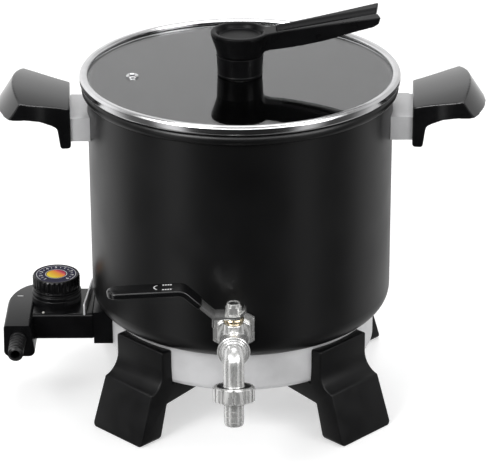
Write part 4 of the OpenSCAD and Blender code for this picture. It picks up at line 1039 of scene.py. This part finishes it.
class MELTER_OT_lever(bpy.types.Operator):
    """Bend the tap's lever, dip its sleeve and add the nut on the stem"""

    bl_idname = "melter.lever"
    bl_label = "Lever"

    def execute(self, context):
        z = low("lever_nut", 2) - 2.4
        bends = rounded([(5, 0), (-15.6, 0), (-40, 22), (-98, 19)], [0, 4, 7, 0], 6)
        line = placed(TAP_X, z, bends)
        lever = prism("tap_lever_bent", strip(line, 0, 2.4), STEM_Y - 7.5, STEM_Y + 7.5, Y)
        tab = placed(TAP_X, z, [(3, 0.2), (5.2, 0.7), (10.2, 5.2)])
        right = prism("tab", strip(tab, 0, 2.2), STEM_Y - 5.5, STEM_Y + 5.5, Y)
        combine(lever, right, "UNION")
        plan = arc((TAP_X - 90.5, STEM_Y), 7.45, 90, 270, 16) + [(TAP_X + 20, STEM_Y - 7.45),
            (TAP_X + 20, STEM_Y + 7.45)]
        combine(lever, prism("plan", plan, z - 5, z + 40), "INTERSECT")
        ease(lever, setting("lever_edge"), 2, 35)
        stop = prism("stop", rounded(placed(TAP_X, z, [(-16.9, 1), (-14.6, 1), (-14.6, -6), (-15.2, -7.4),
            (-16.4, -7.4), (-16.9, -6)]), 0.5, 2), STEM_Y - 7.4, STEM_Y - 3.6, Y)
        combine(lever, ease(stop, 0.3, 2, 35), "UNION")
        settle(lever, "lever", "lever_steel", "tap_lever", slot="nickel_plate")

        start = 26.8
        inner = [(x, h) for x, h in bends if x < -start - 1]
        dipped = [(-start, (start - 16) * 22 / 24)] + inner
        dipped[-1] = (-99.1, 19 - 0.05)
        sleeve = prism("lever_sleeve_dipped", strip(placed(TAP_X, z, dipped), -1.2, 3.6), STEM_Y - 8.7,
            STEM_Y + 8.7, Y)
        plan = arc((TAP_X - 90.6, STEM_Y), 8.6, 90, 270, 20) + [(TAP_X + 20, STEM_Y - 8.6),
            (TAP_X + 20, STEM_Y + 8.6)]
        combine(sleeve, prism("plan", plan, z - 5, z + 40), "INTERSECT")
        ease(sleeve, setting("sleeve_edge"), 4, 35)
        settle(sleeve, "lever", "sleeve_vinyl", "lever_sleeve")

        marks = [prism("turn_mark", arc((0.4, 0.8), 4.4, 110, 250, 14) + arc((0.4, 0.8), 3.5, 250, 110, 14),
            0, 0.1)]
        for row in (4.8, -3.6):
            marks += [prism("dash", [(x, row - 0.9), (x + 1.4, row - 0.9), (x + 1.4, row + 0.9), (x,
                row + 0.9)], 0, 0.1) for x in (3.0, 5.0, 7.0, 9.0)]
        printed = join(marks[0], *marks[1:])
        printed.rotation_euler[1] = -math.atan2(3, 58)
        printed.location = Vector((TAP_X - 58.5, STEM_Y, z + 22 - 3 * 18.5 / 58 + 3.58)) * MM
        apply_place(printed)
        settle(printed, "lever", "print_white", angle=0, slot="dial_print")

        top = high("lever_nut", 2) + 0.8
        nut = prism("lever_nut_faced", hexagon(TAP_X, STEM_Y, 5.5), z + 2.4, top)
        chamfer = lathe("chamfer", [(0, z + 2.3), (6.6, z + 2.3), (6.6, top - 3.2), (5.6, top - 2.4),
            (5.2, top - 0.4), (4.8, top), (0, top)], STEM, steps=64)
        combine(nut, chamfer, "INTERSECT")
        combine(nut, drum("hole", 3.9, (TAP_X, STEM_Y, top - 2.4), 6, Z, 40))
        ease(nut, 0.2, 2, 35)
        # A black ring sits low in the nut's hole and makes the hole read dark.
        insert = lathe("nut_dark_ring", rounded(placed(0, top, [(2.2, -2.3), (3.8, -2.3), (3.8, -0.9),
            (2.2, -1.3)]), 0.2, 3), STEM, ring=True, steps=48)
        settle(insert, "lever", "black_rubber", angle=50)
        settle(nut, "lever", "nickel_plate", "lever_nut")
        return {"FINISHED"}


class MELTER_OT_heat_control(bpy.types.Operator):
    """Model the heat control's housing with its seam, its strain relief and its mark"""

    bl_idname = "melter.heat_control"
    bl_label = "Heat control"

    def execute(self, context):
        edge = setting("housing_edge")
        seam = low("control_upper_shell", 2)
        housing = self.footprint("control_housing", 0, edge)
        step = low("dial_knob", 2) - 0.3
        collar = lathe("step", filled(placed(0, step, [(20.8, -15), (20.8, -5.4), (20.2, -5), (20.2, -4.4),
            (20.7, -4), (20.7, -1.8), (20.1, -1.4), (20.1, 0)]), 0.3), DIAL, steps=128)
        combine(housing, collar, "UNION")
        groove = self.footprint("groove", 1.5, 0)
        combine(groove, self.footprint("core", -0.2, 0))
        band = prism("band", [(-260, -120), (-60, -120), (-60, 120), (-260, 120)], seam - 0.12, seam + 0.12)
        combine(groove, band, "INTERSECT")
        combine(housing, groove)
        combine(housing, prism("nose", rounded([(-11, seam - 9.5), (11, seam - 9.5), (11, seam + 8),
            (-11, seam + 8)], 2.5, 5), high("heat_shield", 0) + 2, high("control_lower_shell", 0), X), "UNION")
        settle(housing, "control_head", "control_plastic", "control_upper_shell", "control_lower_shell")

        end = -low("strain_relief", 1)
        x = mid("strain_relief", 0)
        arm_front = -low("control_upper_shell", 1)
        pitch = (end - arm_front) / 6
        profile = [(5, arm_front - 1)]
        for k in range(6):
            at, r = arm_front + k * pitch, 6.8 - 0.1 * k
            profile += placed(r, at, [(-0.4, 0.2), (0, 0.6), (0, pitch - 1.5), (-0.4, pitch - 1.1),
                (-2.1, pitch - 1), (-2.1, pitch)])
        profile[-2:] = [(4.4, end), (3.9, end)]
        relief = lathe("strain_relief_moulded", [(0, arm_front - 1), *profile, (3.6, end - 0.4),
            (3.6, end - 16), (0, end - 16)], (x, 0, seam), -Y, steps=64)
        settle(relief, "control_head", "black_rubber", "strain_relief")

        low_z, high_z = low("heat_shield", 2), high("heat_shield", 2)
        shield = prism("heat_shield_set", rounded([(-27, low_z - 1), (27, low_z - 1), (27, high_z),
            (-27, high_z)], [0, 0, 1.5, 1.5], 4), -0.7, 0.7, X)
        shield.rotation_euler[2] = -math.atan2(4.5, 54)
        shield.location = (-129.3 * MM, 0, 0)
        apply_place(ease(shield, 0.3, 2, 40))
        settle(shield, "control_head", "satin_aluminium", "heat_shield")

        spot = lathe("pilot_lens", placed(0, low_z, [(0, -3.5), (1.15, -3.5), (1.15, 0.4), (0.8, 0.9),
            (0, 1.1)]), (mid("pilot_lamp", 0), mid("pilot_lamp", 1), 0), steps=32)
        settle(spot, "control_head", "lamp_lens", "pilot_lamp", angle=50)

        top = high_arm()
        mark = prism("arm_mark", rounded([(-2.5, -0.55), (2.5, -0.55), (2.5, 0.55), (-2.5, 0.55)], 0.5, 4),
            top - 0.1, top + 0.12)
        mark.location = Vector((-187.5, 6, 0)) * MM
        apply_place(mark)
        settle(mark, "control_head", "print_white", slot="dial_print")
        return {"FINISHED"}

    def footprint(self, name, grow, edge):
        """The main block and the arm, grown all round, with eased edges."""
        main_low, main_high = 52.8, low("heat_shield", 2)
        x0, x1 = low("control_upper_shell", 0), high("heat_shield", 0) + 4.4
        block = [(-27 - grow, main_low - grow), (27 + grow, main_low - grow), (27 + grow, main_high + grow),
            (-27 - grow, main_high + grow)]
        piece = prism(name, rounded(block, [2.5 + grow, 2.5 + grow, 3 + grow, 3 + grow], 6), x0 + 21 - grow,
            x1 + grow, X)
        if edge:
            ease(piece, edge, 4, 40)
        front, back = low("control_upper_shell", 1), high("control_upper_shell", 1)
        arm_low, arm_high = low("control_lower_shell", 2) - grow, high_arm() + grow
        side = [(x0 - 0.6 - grow, arm_low), (x0 + 26 + grow, arm_low), (x0 + 21.8 + grow, arm_high),
            (x0 - grow, arm_high)]
        arm = prism("arm", rounded(side, [5 + grow, 5 + grow, 2 + grow, 2 + grow], 5), front - grow,
            back + grow, Y)
        corner = curve_through([(x0 + 25, back), (x0 + 14, back - 5.5), (x0 + 6, back - 16.5), (x0 + 1.2,
            back - 31), (x0 - 0.6, back - 46)], 5)
        bar = [(x0 - 2 - grow, front - grow), (x0 + 40, front - grow), (x0 + 40, back + grow),
            *[(x - grow * 0.7, y + grow * 0.7) for x, y in corner]]
        combine(arm, prism("plan", bar, arm_low - 1, arm_high + 1), "INTERSECT")
        if edge:
            ease(arm, edge * 1.2, 4, 40)
        return combine(piece, arm, "UNION")


def high_arm():
    """Height of the top of the heat control's arm."""
    return low("heat_shield", 2) + 1.9


class MELTER_OT_dial(bpy.types.Operator):
    """Model the ribbed dial knob and its printed plate with plain numbers"""

    bl_idname = "melter.dial"
    bl_label = "Dial"

    def execute(self, context):
        z0, z1 = low("dial_knob", 2), high("dial_knob", 2) + DIAL_LIFT
        outer = high("dial_knob", 1)
        outline = []
        for k in range(30):
            for turn, sunk in ((-4.2, 0.75), (-2.6, 0.35), (-1.2, 0), (1.2, 0), (2.6, 0.35), (4.2, 0.75)):
                a = math.radians(k * 12 + turn)
                outline.append((DIAL_X + (outer - sunk) * math.cos(a), (outer - sunk) * math.sin(a)))
        knob = prism("dial_knob_ribbed", outline, z0 + 2.6, z1)
        crown = lathe("crown", filled([(outer, z0 + 1), (outer, z1 - 1.6), (outer - 0.7, z1 - 0.5),
            (outer - 1.1, z1)], 0.5), DIAL, steps=120)
        combine(knob, crown, "INTERSECT")
        base = lathe("base", filled([(outer - 0.3, z0), (outer, z0 + 0.4), (outer, z0 + 1.3),
            (outer - 1.0, z0 + 1.8), (outer - 1.3, z0 + 2.6), (outer - 1.3, z0 + 3)], 0.3), DIAL, steps=120)
        combine(knob, base, "UNION")
        plate_r, plate_z = high("dial_disc", 1), high("dial_disc", 2) + DIAL_LIFT
        combine(knob, drum("recess", plate_r + 0.05, (DIAL_X, 0, plate_z - 1), 5, Z, 120))
        ease(knob, 0.2, 2, 40)
        settle(knob, "dial", "control_plastic", "dial_knob")

        plate = lathe("dial_plate", [(0, plate_z - 0.9), (plate_r - 0.1, plate_z - 0.9),
            (plate_r - 0.1, plate_z - 0.25), (plate_r - 0.3, plate_z - 0.05), (0, plate_z - 0.02)],
            DIAL, steps=96)
        settle(plate, "dial", "dial_print", "dial_disc")

        figures = []
        for k in range(9):
            a = math.radians(230 - 34 * k)
            deselect()
            bpy.ops.object.text_add()
            figure = bpy.context.object
            figure.data.body = str(k + 1)
            figure.data.size = setting("figure_size") * MM
            figure.data.extrude = 0.02 * MM
            figure.data.offset = 0.1 * MM
            figure.data.align_x = "CENTER"
            figure.data.align_y = "CENTER"
            bpy.ops.object.convert(target="MESH")
            figure = bpy.context.object
            figure.location = ((DIAL_X + 13.2 * math.cos(a)) * MM, 13.2 * math.sin(a) * MM, plate_z * MM)
            figure.rotation_euler[2] = a - math.pi / 2
            apply_place(figure)
            figures.append(figure)
            if k < 8:
                b = a - math.radians(17)
                tick = prism("tick", [(-0.28, -0.9), (0.28, -0.9), (0.28, 0.9), (-0.28, 0.9)],
                    plate_z - 0.02, plate_z + 0.02)
                tick.location = Vector((DIAL_X + 13.2 * math.cos(b), 13.2 * math.sin(b), 0)) * MM
                tick.rotation_euler[2] = b - math.pi / 2
                apply_place(tick)
                figures.append(tick)
        for radius, start, end in ((16.8, 222, -42), (9.2, 0, 359.9)):
            line = arc((DIAL_X, 0), radius, start, end, 60) + arc((DIAL_X, 0), radius - 0.45, end, start, 60)
            figures.append(prism("line", line, plate_z - 0.02, plate_z + 0.02))
        printed = join(figures[0], *figures[1:])
        printed.name = "dial_figures"
        settle(printed, "dial", "print_white", angle=0, slot="dial_print")
        return {"FINISHED"}


# ---- the add-on ----

PIECES = (
    MELTER_OT_finishes, MELTER_OT_feet, MELTER_OT_brackets, MELTER_OT_grips, MELTER_OT_lid,
    MELTER_OT_lid_handle, MELTER_OT_tap, MELTER_OT_hose_end, MELTER_OT_lever, MELTER_OT_heat_control,
    MELTER_OT_dial,
)


class MELTER_PT_panel(bpy.types.Panel):
    """Wax melter: its sizes, its colours and the steps that make it"""

    bl_idname = "MELTER_PT_panel"
    bl_label = "Wax melter"
    bl_space_type = "VIEW_3D"
    bl_region_type = "UI"
    bl_category = "Wax melter"

    def draw(self, context):
        layout = self.layout
        for group in (context.scene.melter_sizes, context.scene.melter_colours):
            box = layout.box()
            for name in group.__annotations__:
                box.prop(group, name)
        for step in (*PIECES, MELTER_OT_stage):
            layout.operator(step.bl_idname)


CLASSES = (MelterSizes, MelterColours, *PIECES, MELTER_OT_stage, MELTER_PT_panel)


def register():
    for made in CLASSES:
        bpy.utils.register_class(made)
    bpy.types.Scene.melter_sizes = bpy.props.PointerProperty(type=MelterSizes)
    bpy.types.Scene.melter_colours = bpy.props.PointerProperty(type=MelterColours)


def unregister():
    del bpy.types.Scene.melter_colours
    del bpy.types.Scene.melter_sizes
    for made in reversed(CLASSES):
        bpy.utils.unregister_class(made)


def main():
    register()
    for step in (*PIECES, MELTER_OT_stage):
        group, name = step.bl_idname.split(".")
        getattr(getattr(bpy.ops, group), name)()
    bpy.context.scene.view_settings.view_transform = "Standard"


if __name__ == "__main__":
    main()
